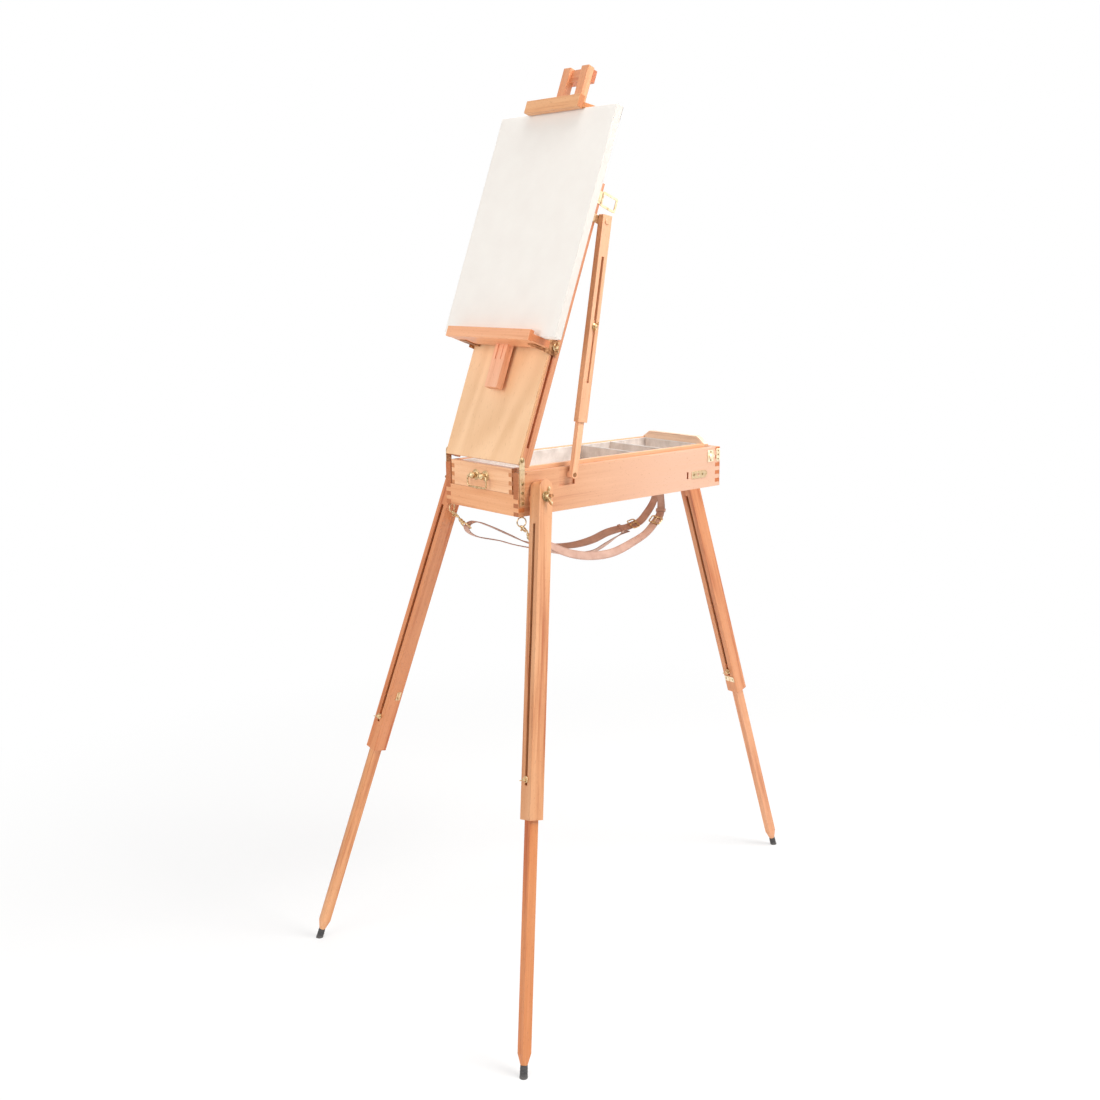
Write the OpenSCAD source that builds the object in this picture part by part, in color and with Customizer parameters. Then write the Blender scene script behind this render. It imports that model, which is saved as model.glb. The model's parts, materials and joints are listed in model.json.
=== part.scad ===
// Half-box sketching easel of oiled beech: a narrow box with a drawer stands on three telescoping
// legs, and its lid is held up by a telescoping stay and carries the canvas ledge and the mast.
// Right and left are the painter's, +X is right, +Y runs from the painter to the back.

/* [Box] */
// Length of the box from front to back
box_l = 502; // [440:1:600]
// Width of the box over its side walls
box_w = 202; // [180:1:240]
// Height of the side walls
wall_h = 75; // [66:1:95]
// Thickness of the side, front and rear walls
wall_t = 13; // [11:1:16]
// Height of the front rail below the drawer
rail_h = 37; // [32:1:42]
// Height of the box's underside above the floor
box_z = 869; // [820:1:920]

/* [Drawer] */
// Height of the drawer front and sides
drawer_h = 44; // [38:1:50]
// Gap between the drawer and each side wall
drawer_gap = 4; // [2:0.5:6]
// Thickness of the drawer front and back
front_t = 11; // [9:1:14]
// Thickness of the drawer sides
side_t = 8; // [6:1:10]
// Thickness of the drawer bottom
bottom_t = 3.5; // [3:0.5:5]
// Height of the drawer back above the drawer sides
back_rise = 12.5; // [6:0.5:14]
// Thickness of the metal tray
tray_t = 1; // [0.8:0.1:2]
// Inside length of the first tray compartment
bay_1 = 292; // [200:1:320]
// Inside length of the second tray compartment
bay_2 = 74; // [40:1:90]
// Distance between the two posts of the pull
pull_span = 26; // [22:1:40]
// Drop of the pull's bail below its posts
bail_drop = 20; // [16:1:22]

/* [Lid] */
// Backward lean of the raised lid in degrees
lid_tilt = 20.5; // [12:0.5:28]
// Thickness of a lid rail across the box
lid_rail_t = 13; // [12:1:16]
// Depth of a lid rail behind the panel
lid_rail_d = 20; // [18:1:24]
// Thickness of the plywood panel
panel_t = 5; // [3:0.5:6]
// Distance of the lid pivot behind the box's front
pivot_y = 8; // [7:0.5:12]

/* [Ledge and mast] */
// Length of the canvas ledge
ledge_w = 226; // [200:1:300]
// Height of the ledge floor's top up the lid
ledge_s = 203; // [160:1:230]
// Depth of the ledge's lip in front of the panel's back
lip_w = 64; // [60:1:80]
// Width of the mast tongue below the ledge
tongue_w = 33; // [30:1:40]
// Thickness of the mast
mast_t = 14; // [12:1:16]
// Distance of the mast's top from the lid pivot
mast_top = 692; // [660:1:720]
// Width of the canvas
canvas_w = 300; // [240:1:400]
// Height of the canvas
canvas_h = 400; // [380:1:410]
// Thickness of the stretched canvas
canvas_t = 15; // [12:1:18]
// Width of the upper holder's front board
holder_w = 140; // [110:1:180]

/* [Stay] */
// Width of the stay's outer section
stay_w = 21; // [20:1:24]
// Thickness of the stay's outer section
stay_t = 12; // [11:0.5:14]
// Distance of the stay's foot behind the box's front
stay_y = 119; // [112:1:122]
// Depth of the stay's foot below the wall top
stay_drop = 14; // [12:1:16]

/* [Legs] */
// Sideways distance of each front foot from the centre
foot_x = 312; // [260:1:340]
// Distance of the front feet in front of the box
foot_front = 178; // [140:1:200]
// Distance of the rear foot behind the box's front
foot_rear = 820; // [780:1:860]
// Width of a front leg's upper section
leg_w = 25.5; // [20:0.5:28]
// Depth of a leg's upper section
leg_d = 28; // [24:1:30]
// Width of a lower stick
stick_w = 13.5; // [10:0.5:15]
// Depth of a lower stick
stick_d = 18; // [14:1:20]
// Length of a front leg's upper section below its pivot
upper_l = 536; // [480:1:560]
// Length of the rear leg's upper section below its pivot
rear_upper_l = 512; // [470:1:530]
// Radius of a rubber foot
tip_r = 7; // [6:0.5:8]

/* [Shoulder straps] */
// Width of a leather strap
strap_w = 16; // [14:1:18]
// Thickness of a leather strap
strap_t = 2; // [1.5:0.5:3]

/* [Hidden] */
$fn = 40;
fit = 0.08;      // radial running clearance of a pin in its bore
gap = 0.3;       // clearance between faces that slide past each other
half_w = box_w / 2;
inner_w = half_w - wall_t;
top_z = box_z + wall_h;
bolt_r = 3;
small_r = 2.4;

// Drawer
runner_t = 8;
runner_w = 14;
runner_z = box_z + rail_h - runner_t - gap;
board_z = runner_z - 6.6;
leg_pass = 20;    // half of the way left for the folded rear leg and its knob
drawer_z = box_z + rail_h;
drawer_half = inner_w - drawer_gap;
drawer_l = box_l - wall_t - 2;
drawer_top = drawer_z + drawer_h;
tray_z = drawer_z + bottom_t + gap;
tray_h = drawer_top - tray_z - 2;
tray_half = drawer_half - side_t - gap;
tray_y = front_t + gap;
tray_l = drawer_l - 2 * front_t - 2 * gap;
pull_z = drawer_z + 0.54 * drawer_h;
pull_out = 9;
bail_r = 1.6;
bail_half = pull_span / 2 + 13;
bail_turn = 7;

// Lid
lid_gap = 0.5;
lid_half = half_w + gap;
pivot_z = top_z + lid_rail_d + lid_gap;
heel = 8;
head_rail_t = 11;
lid_l = box_l - pivot_y - 2;
groove_w = 5;
groove_deep = 6;
groove_c = -5.5;
groove_s0 = 23;
groove_s1 = lid_l - 92;
plate_t = 1;
hasp_t = 1.2;
hasp_s = lid_l - 25;
hasp_w = 26;
hasp_out = 37;
hasp_bar = 3.5;
screw_r = 1.7;
hinge_screw_z = [box_z + 23, box_z + 40.5, box_z + 56];

// Ledge, mast, canvas and holder, in the lid's own directions
mast_w0 = panel_t + 7;
mast_w1 = mast_w0 + mast_t;
floor_t = 12;
lip_t = 9;
lip_up = 5.5;
knob_s = ledge_s - 4;
tongue_low = ledge_s - 89;
shoulder_s = ledge_s - 3;
prong_in = 14;
prong_t = 18.5;
prong_out = prong_in + prong_t;
strip_low = mast_top - 287;
tongue_top = strip_low + 65;
tongue_half = prong_in - gap;
canvas_w0 = mast_w1 + gap;
canvas_s0 = ledge_s + gap;
canvas_s1 = canvas_s0 + canvas_h;
cloth_t = 0.8;
bar_w = 34;
holder_s = canvas_s1 + gap;
holder_t = 8;
holder_front = canvas_w0 + canvas_t + 4;
holder_board_t = 12;
holder_rear = mast_w0 - 16;
holder_wide = 180;
knob_r = 7.5;

// Stay: its foot turns on the wall and its head on a plate behind the lid rail
stay_x = lid_half + plate_t + gap;
stay_z = top_z - stay_drop;
head_s = lid_l - 61;
head_w = -35;
head_y = pivot_y + head_s * sin(lid_tilt) - head_w * cos(lid_tilt);
head_z = pivot_z + head_s * cos(lid_tilt) + head_w * sin(lid_tilt);
stay_len = norm([head_y - stay_y, head_z - stay_z]);
stay_lean = atan2(head_y - stay_y, head_z - stay_z);
web_t = 2.7;
stay_stick_t = stay_t - web_t - 2 * gap;
stay_stick_w = stay_w - 8.2;
stay_short = pivot_y + head_s - stay_y;
stay_stick_l = stay_short - 54;
stay_knob = stay_stick_l - 11;
stay_outer_l = stay_short + 21;
stay_over = 11;
stay_slot_low = stay_short - 47;
stay_slot_high = stay_short - stay_knob - 6;
stay_cavity_high = stay_short - stay_stick_l - 10;
recess_d = 4;
recess_y0 = 92;
recess_y1 = 127.5;
recess_z = top_z - 31.5;

// Plates that catch the folded front legs
catch_t = 1;
catch_y = box_l - 78;
catch_z = box_z + 27;

// Legs: pivot, foot and the two angles that each leg leans at
leg_x = half_w + 6.25 + leg_w / 2;
leg_y = 35;
leg_z = box_z + 33;
rear_y = box_l + leg_d / 2 + 0.5;
rear_z = box_z + 12;
leg_len = norm([foot_x - leg_x, leg_y + foot_front, leg_z]);
leg_lean = asin((leg_y + foot_front) / leg_len);
leg_splay = atan2(foot_x - leg_x, leg_z);
rear_len = norm([foot_rear - rear_y, rear_z]);
rear_lean = atan2(foot_rear - rear_y, rear_z);
leg_top = 29;
rear_leg_w = 28;
cavity_gap = 0.3;
slot_w = 6;
slot_top = 46;
slot_over = 10;
travel = 385;
tip_l = 20;
tip_bore = 5.1;
taper_l = 18;
front_knob = upper_l - 66;
hook_at = upper_l - 113;
tab_at = upper_l - 43;
rear_knob = rear_upper_l - 52;
stick_over = 15;
cheek_t = 10;
block_r = 12;

// The origin lies under the middle of the feet
tip_reach_front = tip_r * sqrt(1 + pow((leg_y + foot_front) / leg_z, 2));
tip_reach_rear = tip_r * sqrt(1 + pow((foot_rear - rear_y) / rear_z, 2));
mid_y = (foot_rear + tip_reach_rear - foot_front - tip_reach_front) / 2;

// Rings below the box's front corners
ring_x = 98;
ring_y = 9;
ring_r = 8;
ring_wire = 1.1;

// Straps: points along the middle of each leather band, with the band's roll about its own line.
// The right one is folded round its ring at the front; the left one is doubled all the way.
route_right = [[91.5, 56, 809, 0], [93, 44, 812.6, 0], [93.4, 39.4, 814.6, 0], [93.6, 37.6, 819, 0],
    [93, 39.8, 823.4, 0], [92, 50, 824, 0], [90, 64, 816, -20], [88, 80, 808, -50], [81, 133, 785, -65],
    [73, 197, 770, -65], [66, 252, 767, -55], [58, 312, 777, -35], [53, 355, 790, -20],
    [49.5, 372, 799, -20], [47, 384, 807, -20], [44.5, 396, 815, -20], [41, 404, 830, -15],
    [38.5, 405, 850, -10], [36.5, 406, 872, 0], [36, 408, 884, 0], [36, 412, 889.4, 0],
    [36, 425, 889.7, 0]];
route_left = [[-34, 484, 889.7, 0], [-34, 471, 889.4, 0], [-34.3, 467, 884, 0],
    [-35.5, 469, 850, 0], [-37, 464, 828, 10], [-39.5, 446, 803, 25], [-40.8, 425, 787, 30],
    [-42, 411, 784, 30], [-43.2, 397, 781, 30], [-46, 371, 779, 40], [-50, 346, 775, 45],
    [-54, 317, 766, 45], [-60, 275, 760, 35],
    [-70, 216, 764, 25], [-76, 165, 777, 10], [-81, 125, 797, 0], [-86, 81, 819, 0],
    [-89, 62, 827, 0], [-91, 50, 829, 0], [-93, 41, 825, 0], [-93.6, 37.6, 819, 0],
    [-93, 40, 813, 0], [-91.5, 47, 806.5, 0], [-89.5, 60, 800, 0], [-87, 81, 794, 0],
    [-84, 107, 787, 0], [-80, 131, 778, 0], [-76, 164, 768, 5], [-68, 214, 754, 15],
    [-60, 268, 743, 30], [-54, 312, 741, 45], [-50, 343, 752, 50], [-46.5, 374, 765, 30],
    [-43.5, 397, 773, 0]];

beech = [0.89, 0.66, 0.46];
beech_dark = [0.82, 0.56, 0.36];
plywood = [0.93, 0.76, 0.56];
brass = [0.83, 0.69, 0.38];
steel = [0.72, 0.72, 0.72];
leather = [0.76, 0.55, 0.42];
rubber = [0.16, 0.16, 0.17];
linen = [0.96, 0.94, 0.91];

// Frames of reference
module easel() translate([0, -mid_y, 0]) children();
module lid() translate([0, pivot_y, pivot_z]) rotate([90 - lid_tilt, 0, 0]) children();
module leg_frame() translate([leg_x, leg_y, leg_z]) rotate([-leg_lean, -leg_splay, 0]) children();
module rear_frame() translate([0, rear_y, rear_z]) rotate([rear_lean, 0, 0]) children();
module stay_frame() translate([0, stay_y, stay_z]) rotate([-stay_lean, 0, 0]) children();
module both_sides() { children(); mirror([1, 0, 0]) children(); }
module along_x(r, x0, x1) translate([x0, 0, 0]) rotate([0, 90, 0]) cylinder(r = r, h = x1 - x0);
module along_y(r, y0, y1) translate([0, y0, 0]) rotate([-90, 0, 0]) cylinder(r = r, h = y1 - y0);
module block(x0, x1, y0, y1, z0, z1) translate([x0, y0, z0]) cube([x1 - x0, y1 - y0, z1 - z0]);

// Every second finger of a box joint, n fingers over the height h
module fingers(x0, x1, y0, y1, z0, h, n)
    for (i = [1:2:n - 1]) block(x0, x1, y0, y1, z0 + i * h / n, z0 + (i + 1) * h / n);

// Box
module side_wall(catch_side) difference() {
    block(inner_w, half_w, 0, box_l, box_z, top_z);
    fingers(inner_w, half_w, 0, wall_t, box_z, rail_h, 5);
    fingers(inner_w, half_w, box_l - wall_t, box_l, box_z, wall_h, 10);
    if (catch_side) block(half_w - recess_d, half_w + 1, recess_y0, recess_y1, recess_z, top_z + 1);
    if (catch_side) translate([0, stay_y, stay_z]) along_x(small_r + 0.1 + fit, 90, half_w);
    leg_frame() along_x(bolt_r + fit, half_w - leg_x - 9, 0);
    translate([0, 17.5, top_z - 3]) along_x(1.5, half_w - 3, half_w + 1);
    block(half_w - recess_d, half_w + 1, catch_y - 13, catch_y - 9, catch_z - 6, catch_z + 7);
    hinge_screw_holes();
}
module side_wall_right() color(beech) easel() side_wall(true);
module side_wall_left() color(beech) easel() mirror([1, 0, 0]) side_wall(false);
module front_rail() color(beech) easel() difference() {
    union() {
        block(-inner_w, inner_w, 0, wall_t, box_z, box_z + rail_h - gap);
        both_sides() fingers(inner_w, half_w, 0, wall_t, box_z, rail_h, 5);
    }
    both_sides() hinge_screw_holes();
}
module hinge_screw_holes() for (z = hinge_screw_z) translate([0, pivot_y, z])
    along_x(screw_r + fit, half_w - 9.2, half_w + 1);
module rear_wall() color(beech_dark) easel() difference() {
    union() {
        block(-inner_w, inner_w, box_l - wall_t, box_l, box_z, top_z);
        both_sides() fingers(inner_w, half_w, box_l - wall_t, box_l, box_z, wall_h, 10);
    }
    block(-rear_leg_w / 2 - 0.6, rear_leg_w / 2 + 0.6, box_l - wall_t - 1, box_l + 1,
        box_z - 1, rear_z + leg_d / 2 + 1.5);
}
module drawer_runners() color(beech_dark) easel() {
    both_sides() block(inner_w - runner_w, inner_w, wall_t, box_l - wall_t,
        runner_z, runner_z + runner_t);
    both_sides() block(leg_pass, inner_w, box_l - 94, box_l - 16, board_z, runner_z);
}
module hinge_straps() color(brass) easel() both_sides() difference() {
    union() {
        block(lid_half + gap, lid_half + gap + hasp_t, 2, 13.5, box_z + 18, pivot_z);
        translate([0, (2 + 13.5) / 2, pivot_z]) along_x(5.75, lid_half + gap, lid_half + gap + hasp_t);
    }
    translate([0, pivot_y, pivot_z]) along_x(small_r + fit, lid_half, lid_half + 3);
    for (z = hinge_screw_z) translate([0, pivot_y, z]) along_x(screw_r + fit, lid_half, lid_half + 3);
}
module box_screws() color(brass) easel() both_sides() {
    for (z = hinge_screw_z) translate([0, pivot_y, z]) {
        along_x(screw_r, half_w - 9, lid_half + gap + hasp_t);
        along_x(3, lid_half + gap + hasp_t, lid_half + gap + hasp_t + 1);
    }
    translate([0, pivot_y, pivot_z]) {
        along_x(small_r, lid_half - 9, lid_half + gap + hasp_t);
        along_x(4, lid_half + gap + hasp_t, lid_half + gap + hasp_t + 1.4);
    }
}
module side_latches() color(brass) easel() both_sides() {
    block(half_w, half_w + 1.2, hasp_s + pivot_y - 8, hasp_s + pivot_y + 8, top_z - 27, top_z - 5);
    translate([0, hasp_s + pivot_y, top_z - 16]) {
        along_x(3.2, half_w + 1.2, half_w + 4);
        block(half_w + 4, half_w + 6, -7, 7, -3.2, 3.2);
    }
    block(half_w, half_w + 1.2, box_l - 11, box_l - 1, top_z - 27, top_z - 3);
}
module side_catches() color(brass) easel() both_sides() difference() {
    union() {
        block(half_w, half_w + catch_t, catch_y, catch_y + 36, catch_z - 7, catch_z + 7);
        translate([0, catch_y + 36, catch_z]) along_x(6, half_w, half_w + catch_t);
    }
    translate([0, catch_y + 17, catch_z]) along_x(3, half_w - 1, half_w + 2);
}
module leg_blocks() color(beech_dark) easel() {
    both_sides() difference() {
        leg_frame() along_x(block_r, half_w - leg_x - 14, -leg_w / 2 - gap);
        block(0, half_w, -50, 100, box_z - 60, top_z + 60);
        leg_frame() along_x(bolt_r + fit, -40, 0);
    }
    both_sides() difference() {
        union() {
            block(rear_leg_w / 2 + gap, rear_leg_w / 2 + gap + cheek_t, box_l, rear_y,
                rear_z - 12, rear_z + 12);
            translate([0, rear_y, rear_z])
                along_x(12, rear_leg_w / 2 + gap, rear_leg_w / 2 + gap + cheek_t);
        }
        block(0, half_w, 0, box_l, box_z - 60, top_z);
        translate([0, rear_y, rear_z]) along_x(bolt_r + fit, 0, 60);
    }
}
module pivot_bolts() color(brass) easel() {
    both_sides() leg_frame() along_x(bolt_r, half_w - leg_x - 8.8, leg_w / 2 + 16);
    translate([0, rear_y, rear_z]) {
        along_x(bolt_r, -rear_leg_w / 2 - gap - cheek_t, rear_leg_w / 2 + cheek_t + 15);
        along_x(6, -rear_leg_w / 2 - gap - cheek_t - 2.5, -rear_leg_w / 2 - gap - cheek_t);
    }
    translate([0, stay_y, stay_z]) {
        along_x(small_r + 0.1, 90.2, stay_x + stay_stick_t - 1.2);
        along_x(4, stay_x + stay_stick_t - 1.2, stay_x + stay_stick_t);
    }
}

// Straps: rings below the front corners, hooks, buckles and the leather bands
module ring(r, wire) rotate_extrude() translate([r, 0]) circle(r = wire, $fn = 16);
module along_strap(p, i) {
    t = tangent(p, i);
    wide = across(p, i);
    up = cross(wide, t);
    multmatrix([for (k = [0:2]) [wide[k], t[k], up[k], p[i][k]]]) children();
}
module rod(a, b, r) {
    d = b - a;
    translate(a) rotate([0, acos(d[2] / norm(d)), atan2(d[1], d[0])]) cylinder(r = r, h = norm(d));
}
module strap_metal() color(brass) easel() {
    ring_z = box_z - ring_r - 1.6;
    both_sides() {
        block(95, 101, ring_y - 3, ring_y + 3, box_z - 1, box_z);
        translate([ring_x, ring_y, ring_z]) rotate([90, 0, 70]) ring(ring_r, ring_wire);
        bar = [ring_x - 4.5, 41, 819];
        throat = bar + [0, -10, 9];
        rod([ring_x - 0.6, ring_y + 1.5, ring_z - ring_r - ring_wire - gap], throat, 2);
        for (end = [bar, throat]) translate(end) along_x(1.5, -strap_w / 2 - 4, strap_w / 2 + 4);
        for (side = [-1, 1] * (strap_w / 2 + 2.5)) rod(throat + [side, 0, 0], bar + [side, 0, 0], 1.5);
    }
    for (at = [[route_right, 14], [route_left, 7]]) along_strap(at[0], at[1]) difference() {
        block(-strap_w / 2 - 3, strap_w / 2 + 3, -8, 8, -2.8, 2.8);
        block(-strap_w / 2 - 0.6, strap_w / 2 + 0.6, -30, 30, -1.9, 1.9);
        block(-strap_w / 2 - 0.6, strap_w / 2 + 0.6, -5.5, 5.5, -10, 10);
    }
    for (end = [[36, 419], [-34, 478]]) translate([end[0], end[1], board_z - 4])
        cylinder(r = 4, h = 1.4);
}
function spot(p) = [p[0], p[1], p[2]];
function unit(v) = v / norm(v);
function tangent(p, i) = unit(spot(p[min(i + 1, len(p) - 1)]) - spot(p[max(i - 1, 0)]));
function across(p, i) =
    let (t = tangent(p, i), flat = unit([1, 0, 0] - t[0] * t))
    flat * cos(p[i][3]) + cross(flat, t) * sin(p[i][3]);
function band_ring(p, i) =
    let (wide = across(p, i), a = wide * strap_w / 2, b = cross(wide, tangent(p, i)) * strap_t / 2,
        c = spot(p[i]))
    [c - a - b, c + a - b, c + a + b, c - a + b];
module band(p) {
    n = len(p);
    rings = [for (i = [0:n - 1]) each band_ring(p, i)];
    sides = [for (i = [0:n - 2], k = [0:3])
        [4 * i + k, 4 * i + (k + 1) % 4, 4 * i + 4 + (k + 1) % 4, 4 * i + 4 + k]];
    polyhedron(points = rings, faces = concat([[3, 2, 1, 0]], sides,
        [[4 * n - 4, 4 * n - 3, 4 * n - 2, 4 * n - 1]]), convexity = 4);
}
module strap_right() color(leather) easel() band(route_right);
module strap_left() color(leather) easel() band(route_left);

// Drawer
module drawer_front() color(beech) easel() {
    block(-drawer_half + side_t, drawer_half - side_t, 0, front_t, drawer_z, drawer_top);
    both_sides() fingers(drawer_half - side_t, drawer_half, 0, front_t, drawer_z, drawer_h, 6);
}
module drawer_sides() color(beech) easel() both_sides() difference() {
    block(drawer_half - side_t, drawer_half, 0, drawer_l - front_t, drawer_z, drawer_top);
    fingers(drawer_half - side_t, drawer_half, 0, front_t, drawer_z, drawer_h, 6);
}
module drawer_back() color(beech) easel()
    translate([0, drawer_l, 0]) rotate([90, 0, 0]) linear_extrude(front_t) polygon([
        [-drawer_half, drawer_z], [drawer_half, drawer_z], [drawer_half, drawer_top - 1],
        [drawer_half - 20, drawer_top + back_rise], [20 - drawer_half, drawer_top + back_rise],
        [-drawer_half, drawer_top - 1]]);
module drawer_bottom() color(plywood) easel() block(side_t - drawer_half, drawer_half - side_t,
    front_t, drawer_l - front_t, drawer_z, drawer_z + bottom_t);
module tray_liner() color(steel) easel() difference() {
    block(-tray_half, tray_half, tray_y, tray_y + tray_l, tray_z, tray_z + tray_h);
    bay(0, bay_1);
    bay(bay_1 + tray_t, bay_2);
    bay(bay_1 + bay_2 + 2 * tray_t, tray_l - bay_1 - bay_2 - 4 * tray_t);
}
module bay(y, l) block(tray_t - tray_half, tray_half - tray_t, tray_y + tray_t + y,
    tray_y + tray_t + y + l, tray_z + tray_t, tray_z + tray_h + 1);
module pull_posts() color(brass) easel() both_sides() translate([pull_span / 2, 0, pull_z]) {
    along_y(5, -1.2, 0);
    difference() {
        union() {
            along_y(2.6, -pull_out, -1.2);
            translate([0, -pull_out, 0]) along_x(4.2, -4, 4);
            translate([0, -pull_out, 0]) along_x(3, -5, 5);
        }
        translate([0, -pull_out, 0]) along_x(bail_r + fit, -6, 6);
    }
}
module bail_bend(x, z, a) translate([x, 0, z]) rotate([90, 0, 0]) rotate([0, 0, a])
    rotate_extrude(angle = 90) translate([bail_turn, 0]) circle(r = bail_r, $fn = 24);
module pull_bail() color(brass) easel() translate([0, -pull_out, pull_z]) both_sides() {
    along_x(bail_r, pull_span / 2 - 4, bail_half - bail_turn);
    bail_bend(bail_half - bail_turn, -bail_turn, 0);
    translate([bail_half, 0, bail_turn - bail_drop]) cylinder(r = bail_r, h = bail_drop - 2 * bail_turn);
    bail_bend(bail_half - bail_turn, bail_turn - bail_drop, -90);
    translate([0, 0, -bail_drop]) along_x(bail_r, 0, bail_half - bail_turn);
}

// Lid, drawn in its own directions: X across, Y up its length, Z towards the painter
module lid_rail() difference() {
    union() {
        block(lid_half - lid_rail_t, lid_half, 0, lid_l, -lid_rail_d, 0);
        intersection() {
            block(lid_half - lid_rail_t, lid_half, -heel, 0, -lid_rail_d, 0);
            along_x(lid_rail_d, lid_half - lid_rail_t, lid_half);
        }
    }
    block(lid_half - groove_deep, lid_half + 1, groove_s0, groove_s1, groove_c - groove_w / 2,
        groove_c + groove_w / 2);
    along_x(small_r + fit, lid_half - 9.2, lid_half + 1);
}
module lid_rail_right() color(beech) easel() lid() lid_rail();
module lid_rail_left() color(beech) easel() lid() mirror([1, 0, 0]) lid_rail();
module lid_panel() color(plywood) easel() lid() difference() {
    block(-lid_half, lid_half, -heel, lid_l, 0, panel_t);
    both_sides() along_x(small_r + fit, lid_half - 9.2, lid_half + 1);
}
module lid_cross_rails() color(beech_dark) easel() lid() {
    block(lid_rail_t - lid_half, lid_half - lid_rail_t, lid_l - head_rail_t, lid_l, -lid_rail_d, 0);
    block(lid_rail_t - lid_half, lid_half - lid_rail_t, 4, 16, -11, 0);
}
module lid_hasps() color(brass) easel() lid() both_sides() difference() {
    block(lid_half, lid_half + hasp_t, hasp_s - hasp_w / 2, hasp_s + hasp_w / 2,
        -lid_rail_d - hasp_out, -3);
    block(lid_half - 1, lid_half + 3, hasp_s - hasp_w / 2 + hasp_bar,
        hasp_s + hasp_w / 2 - hasp_bar, -lid_rail_d - hasp_out + hasp_bar, -lid_rail_d);
}
module stay_plate() color(brass) easel() lid() difference() {
    union() {
        block(lid_half, lid_half + plate_t, head_s - 7, head_s + 7, head_w, -4);
        translate([0, head_s, head_w]) along_x(7, lid_half, lid_half + plate_t);
    }
    translate([0, head_s, head_w]) along_x(3, lid_half - 1, lid_half + 3);
}

// Ledge and canvas
module ledge_floor() color(beech) easel() lid() difference() {
    block(-ledge_w / 2, ledge_w / 2, ledge_s - floor_t, ledge_s, panel_t + 11, lip_w - lip_t);
    block(-tongue_w / 2, tongue_w / 2, ledge_s - floor_t - 1, ledge_s + 1, 0, mast_w1);
}
module ledge_lip() color(beech) easel() lid()
    block(-ledge_w / 2, ledge_w / 2, ledge_s - floor_t - 1, ledge_s + lip_up, lip_w - lip_t, lip_w);
module ledge_brackets() color(brass) easel() lid() both_sides() difference() {
    union() {
        block(lid_half + gap, lid_half + gap + 1.5, knob_s - 14, knob_s + 12, -14, panel_t + 10.7);
        block(84, lid_half + gap + 1.5, ledge_s - floor_t - 1.5, ledge_s - floor_t,
            panel_t + 1, panel_t + 34);
    }
    translate([0, knob_s, groove_c]) along_x(small_r + fit, lid_half, lid_half + 3);
}
module mast_tongue() color(beech) easel() lid() difference() {
    union() {
        block(-tongue_w / 2, tongue_w / 2, tongue_low, shoulder_s, mast_w0, mast_w1);
        block(-tongue_half, tongue_half, shoulder_s, tongue_top, mast_w0, mast_w1);
    }
    both_sides() block(6, 8, ledge_s - 38, ledge_s - floor_t, mast_w1 - 2, mast_w1 + 1);
}
module canvas_stretcher() color(beech) easel() lid() difference() {
    inset = cloth_t + 0.1;
    block(inset - canvas_w / 2, canvas_w / 2 - inset, canvas_s0 + inset, canvas_s1 - inset,
        canvas_w0, canvas_w0 + canvas_t - inset);
    block(bar_w - canvas_w / 2, canvas_w / 2 - bar_w, canvas_s0 + bar_w, canvas_s1 - bar_w,
        canvas_w0 - 1, canvas_w0 + canvas_t);
}
module canvas_cloth() color(linen) easel() lid() difference() {
    block(-canvas_w / 2, canvas_w / 2, canvas_s0, canvas_s1, canvas_w0, canvas_w0 + canvas_t);
    block(cloth_t - canvas_w / 2, canvas_w / 2 - cloth_t, canvas_s0 + cloth_t, canvas_s1 - cloth_t,
        canvas_w0 - 1, canvas_w0 + canvas_t - cloth_t);
}
module thumb_knob(stem_in, reach) {
    along_x(small_r, -stem_in, reach);
    along_x(4.5, 0, reach);
    along_x(knob_r, reach, reach + 4);
    along_x(knob_r - 2, reach + 4, reach + 5.5);
}
module ledge_knob() translate([lid_half + gap + 1.5 + gap, knob_s, groove_c]) thumb_knob(6.5, 2.5);
module ledge_knob_right() color(brass) easel() lid() ledge_knob();
module ledge_knob_left() color(brass) easel() lid() mirror([1, 0, 0]) ledge_knob();

// Mast head and upper holder
module mast_strips() color(beech) easel() lid() both_sides()
    block(prong_in, prong_out, strip_low, mast_top, mast_w0, mast_w1);
module mast_crossbars() color(beech_dark) easel() lid() {
    block(-prong_out, prong_out, mast_top - 25, mast_top - 3, mast_w0 - 8, mast_w0);
    block(-prong_in, prong_in, mast_top - 25, mast_top - 3, mast_w0, mast_w1 - 6);
    block(-prong_in, prong_in, strip_low, strip_low + 20, panel_t + gap, mast_w0 - gap);
    both_sides() block(prong_in, prong_out, strip_low, strip_low + 20, panel_t + gap, mast_w0);
}
module holder_board() color(beech) easel() lid() block(-holder_w / 2, holder_w / 2, holder_s - 4,
    holder_s + 18, holder_front, holder_front + holder_board_t);
module holder_base() color(beech) easel() lid() difference() {
    translate([0, holder_s, 0]) rotate([-90, 0, 0]) mirror([0, 1, 0]) linear_extrude(holder_t)
        polygon([[-holder_w / 2, holder_front], [holder_w / 2, holder_front],
            [holder_wide / 2, mast_w0], [holder_wide / 2 - 12, holder_rear],
            [12 - holder_wide / 2, holder_rear], [-holder_wide / 2, mast_w0]]);
    both_sides() block(prong_in - gap, prong_out + gap, holder_s - 1, holder_s + holder_t + 1,
        mast_w0 - gap, mast_w1 + gap);
    translate([0, holder_s + holder_t / 2, holder_rear]) cylinder(r = small_r + fit, h = 8.2);
}
module holder_knob() color(brass) easel() lid()
    translate([0, holder_s + holder_t / 2, holder_rear - gap]) rotate([0, 90, 0]) thumb_knob(8, 2);

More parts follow.
